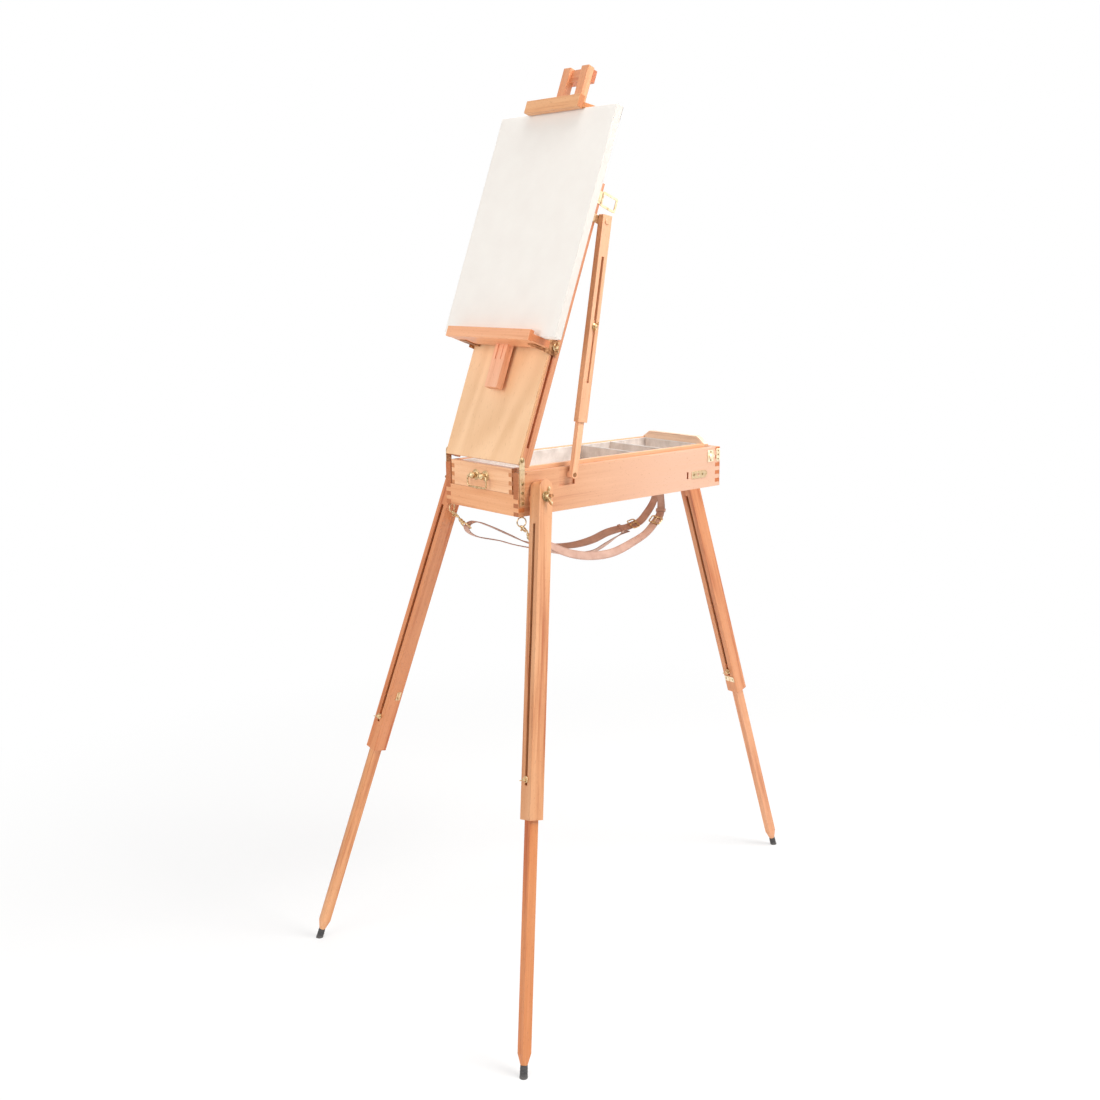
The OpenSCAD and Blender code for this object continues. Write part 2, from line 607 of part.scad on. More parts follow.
// Stay, drawn along +Z from its foot
module stay_stick() color(beech) easel() stay_frame() difference() {
    union() {
        block(stay_x, stay_x + stay_stick_t, -stay_stick_w / 2, stay_stick_w / 2, 0, stay_stick_l);
        along_x(stay_stick_w / 2, half_w - recess_d + gap, stay_x + stay_stick_t);
    }
    along_x(small_r + 0.1 + fit, inner_w, stay_x + stay_t);
    along_x(4 + gap, stay_x + stay_stick_t - 1.5, stay_x + stay_t);
    translate([0, 0, stay_knob]) along_x(small_r + fit, stay_x + 2, stay_x + stay_t);
}
module stay_outer() color(beech) easel() stay_frame() {
    low = stay_len - stay_outer_l;
    difference() {
        block(stay_x, stay_x + stay_t, -stay_w / 2, stay_w / 2, low, stay_len + stay_over);
        block(stay_x - 1, stay_x + stay_t - web_t, -stay_stick_w / 2 - gap,
            stay_stick_w / 2 + gap, low - 1, stay_len - stay_cavity_high);
        block(stay_x, stay_x + stay_t + 1, -2.7, 2.7, stay_len - stay_slot_low, stay_len - stay_slot_high);
    }
    translate([0, 0, stay_len]) along_x(5, stay_x + stay_t, stay_x + stay_t + 1.5);
}
module stay_knob() color(brass) easel() stay_frame()
    translate([stay_x + stay_t + gap, 0, stay_knob]) thumb_knob(stay_t - 3, 2.5);

// Legs, drawn along -Z from their pivot
module leg_upper(w, top, low, knob) difference() {
    union() {
        block(-w / 2, w / 2, -leg_d / 2, leg_d / 2, -low, top - leg_d / 2);
        translate([0, 0, top - leg_d / 2]) along_x(leg_d / 2, -w / 2, w / 2);
    }
    block(-stick_w / 2 - cavity_gap, stick_w / 2 + cavity_gap, -stick_d / 2 - cavity_gap,
        stick_d / 2 + cavity_gap, -low - 1, -slot_top - 5);
    block(-slot_w / 2, slot_w / 2, -leg_d, 0, -knob - slot_over, -slot_top);
    along_x(bolt_r + fit, -w, w);
}
module leg_stick(len, knob) difference() {
    union() {
        block(-stick_w / 2, stick_w / 2, -stick_d / 2, stick_d / 2, -len + tip_l + taper_l,
            -knob + stick_over);
        hull() {
            block(-stick_w / 2, stick_w / 2, -stick_d / 2, stick_d / 2, -len + tip_l + taper_l - 0.1,
                -len + tip_l + taper_l);
            translate([0, 0, -len + tip_l]) cylinder(r = tip_r - 1, h = 0.1, $fn = 32);
        }
        translate([0, 0, -len + tip_l / 2]) cylinder(r = tip_bore - 0.1, h = tip_l / 2);
    }
    translate([0, 0, -knob]) along_y(small_r + fit, -20, 4);
}
module leg_tip(len) difference() {
    translate([0, 0, -len - 5]) cylinder(r = tip_r, h = tip_l + 5 - 0.2);
    translate([0, 0, -len + tip_l / 2 - 0.5]) cylinder(r = tip_bore, h = tip_l);
}
module slide_knob(knob) translate([0, 0, -knob]) {
    along_y(small_r, -leg_d / 2 - gap - 8, 2);
    along_y(6, -leg_d / 2 - gap - 2, -leg_d / 2 - gap);
    along_y(4.2, -leg_d / 2 - gap - 8, -leg_d / 2 - gap - 2);
    for (s = [-1, 1]) translate([0, -leg_d / 2 - gap - 7, 6 * s]) along_x(4, -0.9, 0.9);
}
module wing_nut(x) translate([x, 0, 0]) difference() {
    union() {
        along_x(8, 0, 1.5);
        along_x(5.5, 1.5, 10);
        for (s = [-1, 1]) translate([9, 11 * s, 0]) cylinder(r = 5.2, h = 2.4, center = true);
        for (s = [-1, 1]) block(2, 9, 7 * s - 4, 7 * s + 4, -1.2, 1.2);
    }
    along_x(bolt_r + fit, -1, 12);
}
module thumb_nut(x) translate([x, 0, 0]) difference() {
    union() {
        along_x(8, 0, 5);
        along_x(5.5, 5, 8);
    }
    along_x(bolt_r + fit, -1, 12);
}
module leg_brass() {
    block(-leg_w / 2 - 1, -leg_w / 2, 0.5, 9.5, -hook_at - 8, -hook_at + 8);
    for (s = [-1, 1]) translate([0, 5, -hook_at + 5 * s]) along_x(0.9, -leg_w / 2 - 3.4, -leg_w / 2 - 1);
    translate([-leg_w / 2 - 2.9, 5, -hook_at - 5.9]) cylinder(r = 0.9, h = 11.8);
    block(-4, 4, leg_d / 2, leg_d / 2 + 1.2, -tab_at - 7, -tab_at + 7);
}
module on_floor() difference() {
    children();
    block(-500, 500, -500, 1200, -60, 0);
}
module right_leg() easel() leg_frame() children();
module left_leg() easel() mirror([1, 0, 0]) leg_frame() children();
module leg_right_upper() color(beech) right_leg() leg_upper(leg_w, leg_top, upper_l, front_knob);
module leg_right_stick() color(beech) right_leg() leg_stick(leg_len, front_knob);
module leg_right_tip() color(rubber) easel() on_floor() leg_frame() leg_tip(leg_len);
module leg_right_brass() color(brass) right_leg() leg_brass();
module leg_right_knob() color(brass) right_leg() slide_knob(front_knob);
module leg_right_wing() color(brass) right_leg() wing_nut(leg_w / 2 + gap);
module leg_left_upper() color(beech) left_leg() leg_upper(leg_w, leg_top, upper_l, front_knob);
module leg_left_stick() color(beech) left_leg() leg_stick(leg_len, front_knob);
module leg_left_tip() color(rubber) easel() mirror([1, 0, 0]) on_floor() leg_frame() leg_tip(leg_len);
module leg_left_brass() color(brass) left_leg() leg_brass();
module leg_left_knob() color(brass) left_leg() slide_knob(front_knob);
module leg_left_wing() color(brass) left_leg() wing_nut(leg_w / 2 + gap);
module leg_rear_upper() color(beech) easel() rear_frame()
    leg_upper(rear_leg_w, leg_d / 2, rear_upper_l, rear_knob);
module leg_rear_stick() color(beech) easel() rear_frame() leg_stick(rear_len, rear_knob);
module leg_rear_tip() color(rubber) easel() on_floor() rear_frame() leg_tip(rear_len);
module leg_rear_knob() color(brass) easel() rear_frame() slide_knob(rear_knob);
module leg_rear_nut() color(brass) easel() rear_frame()
    thumb_nut(rear_leg_w / 2 + gap + cheek_t + gap);

side_wall_right();
side_wall_left();
front_rail();
rear_wall();
drawer_runners();
hinge_straps();
box_screws();
side_latches();
side_catches();
leg_blocks();
pivot_bolts();
strap_metal();
strap_right();
strap_left();
drawer_front();
drawer_sides();
drawer_back();
drawer_bottom();
tray_liner();
pull_posts();
pull_bail();
lid_rail_right();
lid_rail_left();
lid_panel();
lid_cross_rails();
lid_hasps();
stay_plate();
ledge_floor();
ledge_lip();
ledge_brackets();
mast_tongue();
canvas_stretcher();
canvas_cloth();
ledge_knob_right();
ledge_knob_left();
mast_strips();
mast_crossbars();
holder_board();
holder_base();
holder_knob();
stay_stick();
stay_outer();
stay_knob();
leg_right_upper();
leg_right_stick();
leg_right_tip();
leg_right_brass();
leg_right_knob();
leg_right_wing();
leg_left_upper();
leg_left_stick();
leg_left_tip();
leg_left_brass();
leg_left_knob();
leg_left_wing();
leg_rear_upper();
leg_rear_stick();
leg_rear_tip();
leg_rear_knob();
leg_rear_nut();
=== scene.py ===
import json
import math
import bmesh
import bpy
import numpy as np
from mathutils import Matrix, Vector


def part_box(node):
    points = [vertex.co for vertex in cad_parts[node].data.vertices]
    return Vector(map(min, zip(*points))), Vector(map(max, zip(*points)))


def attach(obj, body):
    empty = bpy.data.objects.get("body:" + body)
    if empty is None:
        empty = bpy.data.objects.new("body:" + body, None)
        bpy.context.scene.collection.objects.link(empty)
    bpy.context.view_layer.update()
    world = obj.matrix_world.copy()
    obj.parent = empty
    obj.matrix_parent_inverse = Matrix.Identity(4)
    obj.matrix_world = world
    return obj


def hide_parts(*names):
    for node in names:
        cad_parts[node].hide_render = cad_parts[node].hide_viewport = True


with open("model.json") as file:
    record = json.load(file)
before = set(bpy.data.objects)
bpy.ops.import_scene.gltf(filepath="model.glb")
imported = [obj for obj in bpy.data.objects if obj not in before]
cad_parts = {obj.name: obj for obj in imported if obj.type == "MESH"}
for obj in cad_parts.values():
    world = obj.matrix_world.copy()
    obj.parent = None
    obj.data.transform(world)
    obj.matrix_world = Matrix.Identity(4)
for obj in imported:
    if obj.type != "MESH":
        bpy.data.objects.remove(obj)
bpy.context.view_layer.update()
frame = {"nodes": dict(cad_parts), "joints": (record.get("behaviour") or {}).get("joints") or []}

nodes = frame["nodes"]


# The box. Four boards of steamed beech, finger-jointed at the corners, glued, sanded flush and
# oiled. The drawer's runners and two strap blocks are screwed inside, and the front legs' round
# spacers and the rear leg's cheeks are glued on outside.
ACROSS = np.array([1.0, 0, 0])
DEPTH = np.array([0, 1.0, 0])
UP = np.array([0, 0, 1.0])


def unit(v):
    v = np.asarray(v, float)
    return v / np.linalg.norm(v)


class Axes:
    """A place with three directions at right angles; at() turns local millimetres into metres."""

    def __init__(self, origin, x, z):
        self.origin = np.asarray(origin, float)
        self.z = unit(z)
        self.x = unit(np.asarray(x, float) - np.dot(x, self.z) * self.z)
        self.y = np.cross(self.z, self.x)

    def at(self, x, y, z):
        x, y, z = (np.asarray(v, float)[..., None] / 1000 for v in np.broadcast_arrays(x, y, z))
        return self.origin + x * self.x + y * self.y + z * self.z

    def facing(self, place, x=(1, 0, 0), z=(0, 0, 1)):
        """A frame at a local place, whose x and z point along two local directions."""
        turn = np.array([self.x, self.y, self.z])
        return Axes(self.at(*place), np.dot(x, turn), np.dot(z, turn))


class Wire:
    """A shader socket; arithmetic on it adds Math nodes to its shader."""

    def __init__(self, shader, socket):
        self.shader, self.socket = shader, socket

    def maths(self, operation, *values):
        return self.shader.add("ShaderNodeMath", {"operation": operation}, *values)

    def __add__(self, other):
        return self.maths("ADD", self, other)

    def __sub__(self, other):
        return self.maths("SUBTRACT", self, other)

    def __rsub__(self, other):
        return self.maths("SUBTRACT", other, self)

    def __mul__(self, other):
        return self.maths("MULTIPLY", self, other)

    def __abs__(self):
        return self.maths("ABSOLUTE", self)

    __radd__ = __add__
    __rmul__ = __mul__

    def sine(self):
        return self.maths("SINE", self)

    def step(self, low, high):
        """0 below low, 1 above high, smooth between."""
        settings = {"interpolation_type": "SMOOTHSTEP"}
        return self.shader.add("ShaderNodeMapRange", settings, self, low, high, 0.0, 1.0)


def tint(r, g, b):
    """A display colour, 0 to 255 a channel, as the linear colour that a shader takes."""
    display = np.maximum([r, g, b], 0) / 255
    return (*np.where(display < 0.04045, display / 12.92, ((display + 0.055) / 1.055) ** 2.4), 1.0)


class Shader:
    """A node tree under construction. add() makes any node, the rest are its common uses."""

    def __init__(self, tree):
        self.tree = tree

    def join(self, value, socket):
        """Links a wire to a socket or gives the socket a plain value; None leaves it as it is."""
        if isinstance(value, Wire):
            self.tree.links.new(value.socket, socket)
        elif value is not None:
            socket.default_value = value

    def add(self, kind, settings, *values, out=0, **named):
        """Adds a node, makes its settings, then gives its sockets their values or links."""
        node = self.tree.nodes.new(kind)
        stops = settings.pop("stops", None)
        for key, value in settings.items():
            setattr(node, key, value)
        if stops:
            ramp = node.color_ramp
            while len(ramp.elements) < len(stops):
                ramp.elements.new(0.5)
            for element, (place, colour) in zip(ramp.elements, stops):
                element.position = place
                element.color = colour
        for place, value in enumerate(values):
            self.join(value, node.inputs[place])
        for name, value in named.items():
            self.join(value, node.inputs[name.replace("_", " ")])
        return Wire(self, node.outputs[out])

    def coords(self, out="Object"):
        return self.add("ShaderNodeTexCoord", {}, out=out)

    def dot(self, vector, axis):
        settings = {"operation": "DOT_PRODUCT"}
        return self.add("ShaderNodeVectorMath", settings, vector, tuple(axis), out="Value")

    def vector(self, x, y, z):
        return self.add("ShaderNodeCombineXYZ", {}, x, y, z)

    def noise(self, vector, scale, detail, rough=0.5, bend=0.0):
        return self.add("ShaderNodeTexNoise", {}, Vector=vector, Scale=scale, Detail=detail,
                        Roughness=rough, Distortion=bend)

    def ramp(self, value, stops):
        return self.add("ShaderNodeValToRGB", {"stops": stops}, value)

    def mix(self, share, a, b):
        """Two colours mixed; the node's five sockets between the share and them are for numbers."""
        return self.add("ShaderNodeMix", {"data_type": "RGBA"}, share, *[None] * 5, a, b, out=2)


class Finish(Shader):
    """A material under construction on its Principled shader."""

    def __init__(self, name, rough, metal=0.0, coat=0.0):
        self.material = bpy.data.materials.new(name)
        self.material.use_nodes = True
        super().__init__(self.material.node_tree)
        self.skin = self.tree.nodes["Principled BSDF"]
        self.set("Roughness", rough)
        self.set("Metallic", metal)
        self.set("Coat Weight", coat)

    def set(self, socket, value):
        self.join(value, self.skin.inputs[socket])

    def bump(self, height, depth, strength=1.0):
        self.set("Normal", self.add("ShaderNodeBump", {}, Strength=strength, Distance=depth,
                                    Height=height))


def dress(finish, *names, soft=0):
    """Gives CAD nodes a finish in place of the plain one they were packed with. soft joins their
    loose triangles and rounds their sharp edges by so many millimetres."""
    for name in names:
        node = nodes[name]
        node.data.materials.clear()
        node.data.materials.append(finish.material)
        if soft:
            weld = node.modifiers.new("weld", "WELD")
            weld.merge_threshold = 2e-5
            flat = node.modifiers.new("flat", "DECIMATE")
            flat.decimate_type = "DISSOLVE"
            flat.angle_limit = math.radians(1.0)
            edge = node.modifiers.new("edge", "BEVEL")
            edge.width = soft / 1000
            edge.segments = 2
            edge.limit_method = "ANGLE"
            edge.angle_limit = math.radians(40)
            edge.use_clamp_overlap = True


def beech(name, grain, side, colour, seed, bands=1.0, painted_sheen=None):
    """Steamed beech, oiled, straight and fine. Pale and salmon bands are noise stretched 20 to 1
    along the grain, dark flecks are noise stretched 7 to 1 and cut off at its peaks, and faces that
    look along the grain are end grain, which drinks more oil and goes brown. The last argument is a
    paler colour painted in as a sheen, a painted highlight, and from where to where along the grain
    the board turns to it."""
    wood = Finish(name, 0.42, coat=0.3)
    wood.set("Coat Roughness", 0.2)
    point = wood.coords()
    axes = Axes((0, 0, 0), side, grain)
    u, v, w = (wood.dot(point, axis) for axis in (axes.z, axes.x, axes.y))
    across = v + seed
    growth = wood.noise(wood.vector(across * 46, w * 46, u * 2.2), 1.0, 3.0, 0.55, 0.6)
    fibre = wood.noise(wood.vector(across * 900, w * 900, u * 26), 1.0, 2.0)
    fleck = wood.noise(wood.vector(across * 1000, w * 1000, u * 150), 1.0, 1.0).step(0.66, 0.72)
    cloud = wood.noise(wood.vector(across * 9, w * 9, u * 5), 1.0, 2.0)
    streak = wood.noise(wood.vector(across * 260, w * 260, u * 7), 1.0, 2.0, 0.5, 0.3)
    shade = ((growth - 0.5) * (1.3 * bands) + (cloud - 0.5) * 0.5 + (streak - 0.5) * 0.7
             + (fibre - 0.5) * 0.3 + 0.5)
    r, g, b = colour
    base = wood.ramp(shade, [(0.1, tint(r - 30, g - 42, b - 40)), (0.42, tint(r, g, b)),
                             (0.85, tint(r + 10, g + 16, b + 18))])
    # Painted sheen: the board is painted paler along the grain towards the given end, standing in
    # for light glancing off it.
    if painted_sheen:
        other, near, far = painted_sheen
        share = (u + cloud * 0.1).step(near, far) * (1.2 - shade * 0.4)
        base = wood.mix(share, base, tint(*other))
    flecked = wood.mix(fleck * 0.45, base, tint(r - 60, g - 66, b - 62))
    end = abs(wood.dot(wood.coords("Normal"), axes.z)).step(0.75, 0.9)
    pores = wood.noise(point, 1500.0, 2.0)
    end_wood = wood.ramp(pores, [(0.35, tint(r - 60, g - 84, b - 96)),
                                 (0.7, tint(r - 26, g - 44, b - 60))])
    wood.set("Base Color", wood.mix(end * 0.8, flecked, end_wood))
    wood.set("Roughness", 0.36 + fibre * 0.16 + fleck * 0.1)
    wood.bump(fibre * (1 - end) + pores * end - fleck * 0.6, 0.00008)
    return wood


# A painted sheen: the right wall is painted paler towards its rear, where light glances off it.
PAINTED_SHEEN_BEHIND = ((224, 178, 150), -0.28, 0.16)
dress(beech("beech_wall_right", DEPTH, UP, (214, 152, 108), 0.1, 0.7, PAINTED_SHEEN_BEHIND),
      "side_wall_right", soft=0.5)
dress(beech("beech_wall_left", DEPTH, UP, (226, 156, 108), 0.7), "side_wall_left", soft=0.5)
dress(beech("beech_front", ACROSS, UP, (233, 163, 112), 1.3), "front_rail", soft=0.5)
dress(beech("beech_rear", ACROSS, UP, (229, 156, 107), 1.9), "rear_wall", soft=0.5)
dress(beech("beech_runner", DEPTH, UP, (220, 150, 102), 2.3), "drawer_runners", soft=0.5)
dress(beech("beech_block", ACROSS, UP, (216, 142, 96), 2.9), "leg_blocks")

# The drawer. Its thin boards of paler beech are finger-jointed and glued round a bottom of
# rotary-cut plywood, and the chamfered back stands above the sides.
dress(beech("beech_drawer_front", ACROSS, UP, (244, 186, 140), 3.1), "drawer_front", soft=0.5)
# The back board is painted paler than the drawer's other boards: painted light, standing in for
# light thrown up onto its shaded face from the tray.
dress(beech("beech_drawer_back_painted_light", ACROSS, UP, (254, 220, 190), 3.4), "drawer_back", soft=0.5)
dress(beech("beech_drawer_side", DEPTH, UP, (239, 179, 133), 3.7), "drawer_sides", soft=0.5)


def plywood(name, grain, out, colour, face):
    """Rotary-cut face veneer: rings of a slowly bending noise, so the figure wanders as flames do.
    The edges show the plies as stripes, one every two millimetres of thickness from the face."""
    wood = Finish(name, 0.45, coat=0.1)
    point = wood.coords()
    axes = Axes((0, 0, 0), out, grain)
    u, v, w = (wood.dot(point, axis) for axis in (axes.z, axes.y, axes.x))
    sweep = wood.noise(wood.vector(v * 5, 0.0, u * 1.6), 1.0, 2.0, 0.4, 0.3)
    rings = (sweep * 46 + v * 4).sine() * 0.5 + 0.5
    fibre = wood.noise(wood.vector(v * 700, w * 700, u * 20), 1.0, 2.0)
    fleck = wood.noise(wood.vector(v * 600, w * 600, u * 110), 1.0, 1.0).step(0.67, 0.74)
    cloud = wood.noise(wood.vector(v * 8, 0.0, u * 6), 1.0, 3.0)
    r, g, b = colour
    shade = rings * 0.2 + cloud * 0.62 + fibre * 0.16
    base = wood.ramp(shade, [(0.2, tint(r - 20, g - 26, b - 30)), (0.6, tint(r, g, b)),
                             (0.95, tint(r + 8, g + 12, b + 16))])
    flecked = wood.mix(fleck * 0.3, base, tint(r - 52, g - 60, b - 62))
    plies = ((w - face) * 3140).sine().step(-0.2, 0.2)
    edge = wood.mix(plies, tint(r - 20, g - 30, b - 36), tint(r - 62, g - 74, b - 72))
    sideways = 1 - abs(wood.dot(wood.coords("Normal"), axes.x)).step(0.4, 0.6)
    wood.set("Base Color", wood.mix(sideways, flecked, edge))
    wood.set("Roughness", 0.4 + fibre * 0.15)
    wood.bump(fibre - fleck * 0.5, 0.00006)
    return wood


bottom_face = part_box("drawer_bottom")[0].z
dress(plywood("ply_drawer", DEPTH, UP, (226, 186, 146), bottom_face), "drawer_bottom")


# The lid. Two grooved rails and two cross rails of beech are jointed into a frame, and a plywood
# panel is glued to its face. It leans back, and all its pieces follow its own directions.
def joint_named(name):
    return next(joint for joint in frame["joints"] if joint["name"] == name)


lid_up = unit(joint_named("ledge_slide")["axis"])
lid_out = np.cross(ACROSS, lid_up)
lid_pivot = np.array(joint_named("lid_tilt")["pos_m"])
panel_face = float(np.dot(lid_pivot, lid_out))
dress(beech("beech_lid_rail", lid_up, ACROSS, (202, 132, 90), 4.2),
      "lid_rail_right", "lid_rail_left", soft=0.6)
dress(beech("beech_lid_cross", ACROSS, lid_up, (218, 146, 98), 4.6), "lid_cross_rails", soft=0.6)
dress(plywood("ply_panel", lid_up, lid_out, (252, 207, 162), panel_face), "lid_panel", soft=0.4)

# The ledge and the mast, of beech. The canvas stands on the ledge's floor behind its lip, and the
# mast's tongue runs through the floor's notch and up the lid to the holder that grips the canvas.
dress(beech("beech_ledge", ACROSS, lid_out, (236, 166, 120), 5.1),
      "ledge_floor", "ledge_lip", soft=0.7)
dress(beech("beech_tongue", lid_up, ACROSS, (244, 178, 138), 5.5), "mast_tongue", soft=0.7)
dress(beech("beech_mast", lid_up, ACROSS, (217, 146, 99), 5.9), "mast_strips", soft=0.7)
dress(beech("beech_crossbar", ACROSS, lid_up, (218, 146, 102), 6.3), "mast_crossbars", soft=0.7)
dress(beech("beech_holder", ACROSS, lid_up, (224, 161, 108), 6.6),
      "holder_board", "holder_base", soft=0.7)

# The stay. A slim stick slides in a channelled outer section, both of straight-grained beech. Its
# foot turns on the right wall, and its head on a brass plate behind the lid's rail.
stay_up = -unit(joint_named("stay_slide")["axis"])
dress(beech("beech_stay", stay_up, ACROSS, (224, 166, 124), 7.2), "stay_outer", soft=0.6)
dress(beech("beech_stay_stick", stay_up, ACROSS, (240, 182, 140), 7.5), "stay_stick", soft=0.6)


# The legs. Each upper section is a bar of beech, milled hollow with a slot down its front face,
# and the stick that slides in it tapers to a rubber foot. The six are sawn from different boards,
# and their tones are also darkened in part as painted shade, most on the left upper section and
# the right stick.
def leg_direction(side):
    """The way up a leg, from its foot to its pivot."""
    return unit(joint_named(f"leg_{side}_extend")["axis"])


# Tones of each upper section and stick. The darker ones are in part painted shade: where the box
# shades the left upper section, and where light falls off down the right stick.
LEG_TONES_AND_SHADE = {"right": ((211, 146, 98), (206, 124, 66)), "left": ((212, 130, 78), (226, 156, 102)),
             "rear": ((212, 138, 90), (221, 152, 106))}
for number, (side, (upper_tone, stick_tone)) in enumerate(LEG_TONES_AND_SHADE.items()):
    up = leg_direction(side)
    across = ACROSS if side == "rear" else joint_named(f"leg_{side}_fold")["axis"]
    upper = beech(f"beech_leg_{side}", up, across, upper_tone, 8.0 + number, bands=1.5)
    stick = beech(f"beech_stick_{side}", up, across, stick_tone, 8.5 + number, bands=1.3)
    dress(upper, f"leg_{side}_upper", soft=1.0)
    dress(stick, f"leg_{side}_stick", soft=0.6)


# Brass plates, pressed from strip, lacquered and screwed on: the lid's hinge straps, the catches,
# the stay's plate and the legs' staples. The ledge's brackets and the pivot bolts are bronzed.
def plated(name, dark, colour, bright, rough, blotch):
    """Noise of blotch a metre goes from tarnish to bright metal and from dull to glossy, and
    noise stretched 9 to 1 is fine scratches from handling."""
    metal = Finish(name, rough, metal=0.9)
    point = metal.coords()
    cloud = metal.noise(point, blotch, 4.0, 0.6)
    x, y, z = (metal.dot(point, axis) for axis in (ACROSS, DEPTH, UP))
    scratch = metal.noise(metal.vector(x * 2600, y * 300, z * 300), 1.0, 2.0)
    stops = [(0.34, tint(*dark)), (0.48, tint(*colour)), (0.7, tint(*bright))]
    metal.set("Base Color", metal.ramp(cloud * 0.8 + scratch * 0.2, stops))
    metal.set("Roughness", rough + (1 - cloud) * 0.2 + scratch * 0.12)
    metal.bump(scratch + cloud * 1.5, 0.00006, 0.8)
    return metal


brass = plated("plate_brass", (180, 146, 106), (224, 196, 156), (244, 224, 190), 0.24, 130.0)
bronze = plated("bronzed_brass", (112, 72, 46), (170, 118, 80), (224, 180, 136), 0.3, 130.0)
dress(brass, "hinge_straps", "side_catches", "stay_plate", "leg_right_brass", "leg_left_brass",
      soft=0.25)
dress(bronze, "ledge_brackets", soft=0.25)
dress(bronze, "pivot_bolts")


# Clamp screws and nuts. Each is a brass casting with a flange that bears on the wood, a hub and
# two ears to turn it by, threaded through a slot or on a bolt. The wing nuts stand on washers, and
# the rear leg's nut is knurled.
def sheet_of(points, across=False, along=False):
    """Quads between neighbours of a grid; across closes its second direction, along its first."""
    rows, columns = points.shape[:2]
    i = np.arange(rows if along else rows - 1)[:, None]
    j = np.arange(columns if across else columns - 1)[None, :]
    next_i, next_j = (i + 1) % rows, (j + 1) % columns
    corners = [i * columns + j, i * columns + next_j, next_i * columns + next_j,
               next_i * columns + j]
    return points.reshape(-1, 3), np.stack(corners, -1).reshape(-1, 4)


def linked(name, data):
    """A new object in the scene."""
    thing = bpy.data.objects.new(name, data)
    bpy.context.scene.collection.objects.link(thing)
    return thing


def piece(name, body, finish, patches, stands_for=(), crisp=38, across=None):
    """Joins closed patches: doubles merge, faces turn outward, and edges over crisp degrees stay
    sharp. across is how far each point lies from the middle of a band, for its finish."""
    starts = np.cumsum([0] + [len(points) for points, _ in patches])
    points = np.concatenate([points for points, _ in patches])
    faces = np.concatenate([quads + start for (_, quads), start in zip(patches, starts)])
    mesh = bpy.data.meshes.new(name)
    mesh.from_pydata(points.tolist(), [], faces.tolist())
    if across is not None:
        attribute = mesh.attributes.new("across", "FLOAT", "POINT")
        attribute.data.foreach_set("value", across.ravel())
    work = bmesh.new()
    work.from_mesh(mesh)
    bmesh.ops.remove_doubles(work, verts=work.verts, dist=1e-6)
    bmesh.ops.dissolve_degenerate(work, edges=work.edges, dist=1e-7)
    bmesh.ops.recalc_face_normals(work, faces=work.faces)
    work.to_mesh(mesh)
    work.free()
    mesh.shade_smooth()
    mesh.set_sharp_from_angle(angle=math.radians(crisp))
    mesh.materials.append(finish.material)
    thing = linked(name, mesh)
    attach(thing, body)
    if stands_for:
        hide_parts(*stands_for)
    return thing


def turned(axes, profile, steps=36, ripple=0.0, teeth=0):
    """A lathe form: (height, radius) pairs carried round z, the radius waved teeth times a turn."""
    height, radius = np.asarray(profile, float).T[:, :, None]
    turn = np.linspace(0, 2 * np.pi, steps, endpoint=False)
    radius = radius * (1 + ripple * np.cos(teeth * turn))
    return sheet_of(axes.at(radius * np.cos(turn), radius * np.sin(turn), height), across=True)


def wing(axes, sign, start, tip, root_w, tip_w, thick):
    """One ear of a wing nut: an oval carried outward and, by the power 1.5 of the way out, upward.
    It widens from root to tip, thins, and is rounded off over its last part."""
    round_from = 0.72
    t = np.linspace(0, 1, 16)[:, None]
    turn = np.linspace(0, 2 * np.pi, 20, endpoint=False)[None, :]
    out = start[0] + (tip[0] - start[0]) * t
    rise = start[1] + (tip[1] - start[1]) * t ** 1.5
    rounding = np.clip((t - round_from) / (1 - round_from), 0, 1)
    end = np.sqrt(np.clip(1 - rounding ** 2, 0, 1))
    half_w = (root_w + (tip_w - root_w) * t) * end
    half_t = thick * (1 - 0.3 * t) * (0.35 + 0.65 * end) * (t < 1)
    x = sign * (out - half_w * np.cos(turn) * 0.75)
    z = rise + half_w * np.cos(turn) * 0.65
    return sheet_of(axes.at(x, half_t * np.sin(turn), z), across=True)


def turning(name, out_sign, way, sunk):
    """A frame on a clamp's axis, sunk below its joint's place, z outward and x near a way."""
    joint = joint_named(f"{name}_turn")
    axes = Axes(joint["pos_m"], way, out_sign * np.array(joint["axis"]))
    return axes.facing((0, 0, -sunk))


def clamp(name, axes, flange, hub, height, tip):
    """Flange, waisted hub and two ears; tip is how far out and how high the ears reach."""
    profile = [(0, 0), (0, flange - 0.4), (0.3, flange), (0.9, flange), (1.3, flange - 0.6),
               (1.5, hub + 0.3), (height * 0.5, hub * 0.9), (height * 0.85, hub * 0.8),
               (height, hub * 0.55), (height, 0)]
    ears = [wing(axes, sign, (hub * 0.5, height * 0.45), tip, hub * 0.5, hub * 0.85, hub * 0.28)
            for sign in (-1, 1)]
    piece(f"{name}_screw", name, cast_brass, [turned(axes, profile)] + ears, [name])


cast_brass = plated("cast_brass", (98, 66, 40), (212, 178, 128), (250, 232, 198), 0.2, 420.0)
screw_brass = plated("screw_brass", (92, 70, 44), (156, 128, 86), (222, 200, 156), 0.24, 600.0)
# Radii of flange and hub, height, and how far out and up the ears reach. The turned profiles are
# heights and radii.
WING_NUT = (8, 5.2, 9, (15.2, 12.5))
SLIDE_NUT = (5.6, 3.9, 6.2, (8.2, 8.6))
LEDGE_NUT = (5.8, 4.2, 6, (8.4, 8.2))
STAY_NUT = (5.6, 4.0, 5, (8, 6.4))
WASHER = [(0.05, 5.6), (0.05, 8.6), (0.4, 9.0), (1.3, 9.0), (1.7, 8.4), (1.7, 5.6)]
BOLT_END = [(8, 0), (8, 2.6), (14.4, 2.6), (15.2, 1.9), (15.2, 0)]
KNURLED_NUT = [(0, 0), (0, 7.2), (0.5, 7.8), (4.4, 7.8), (5, 7.2), (5.2, 5.6), (7.6, 5.2),
               (8, 4.4), (8, 0)]
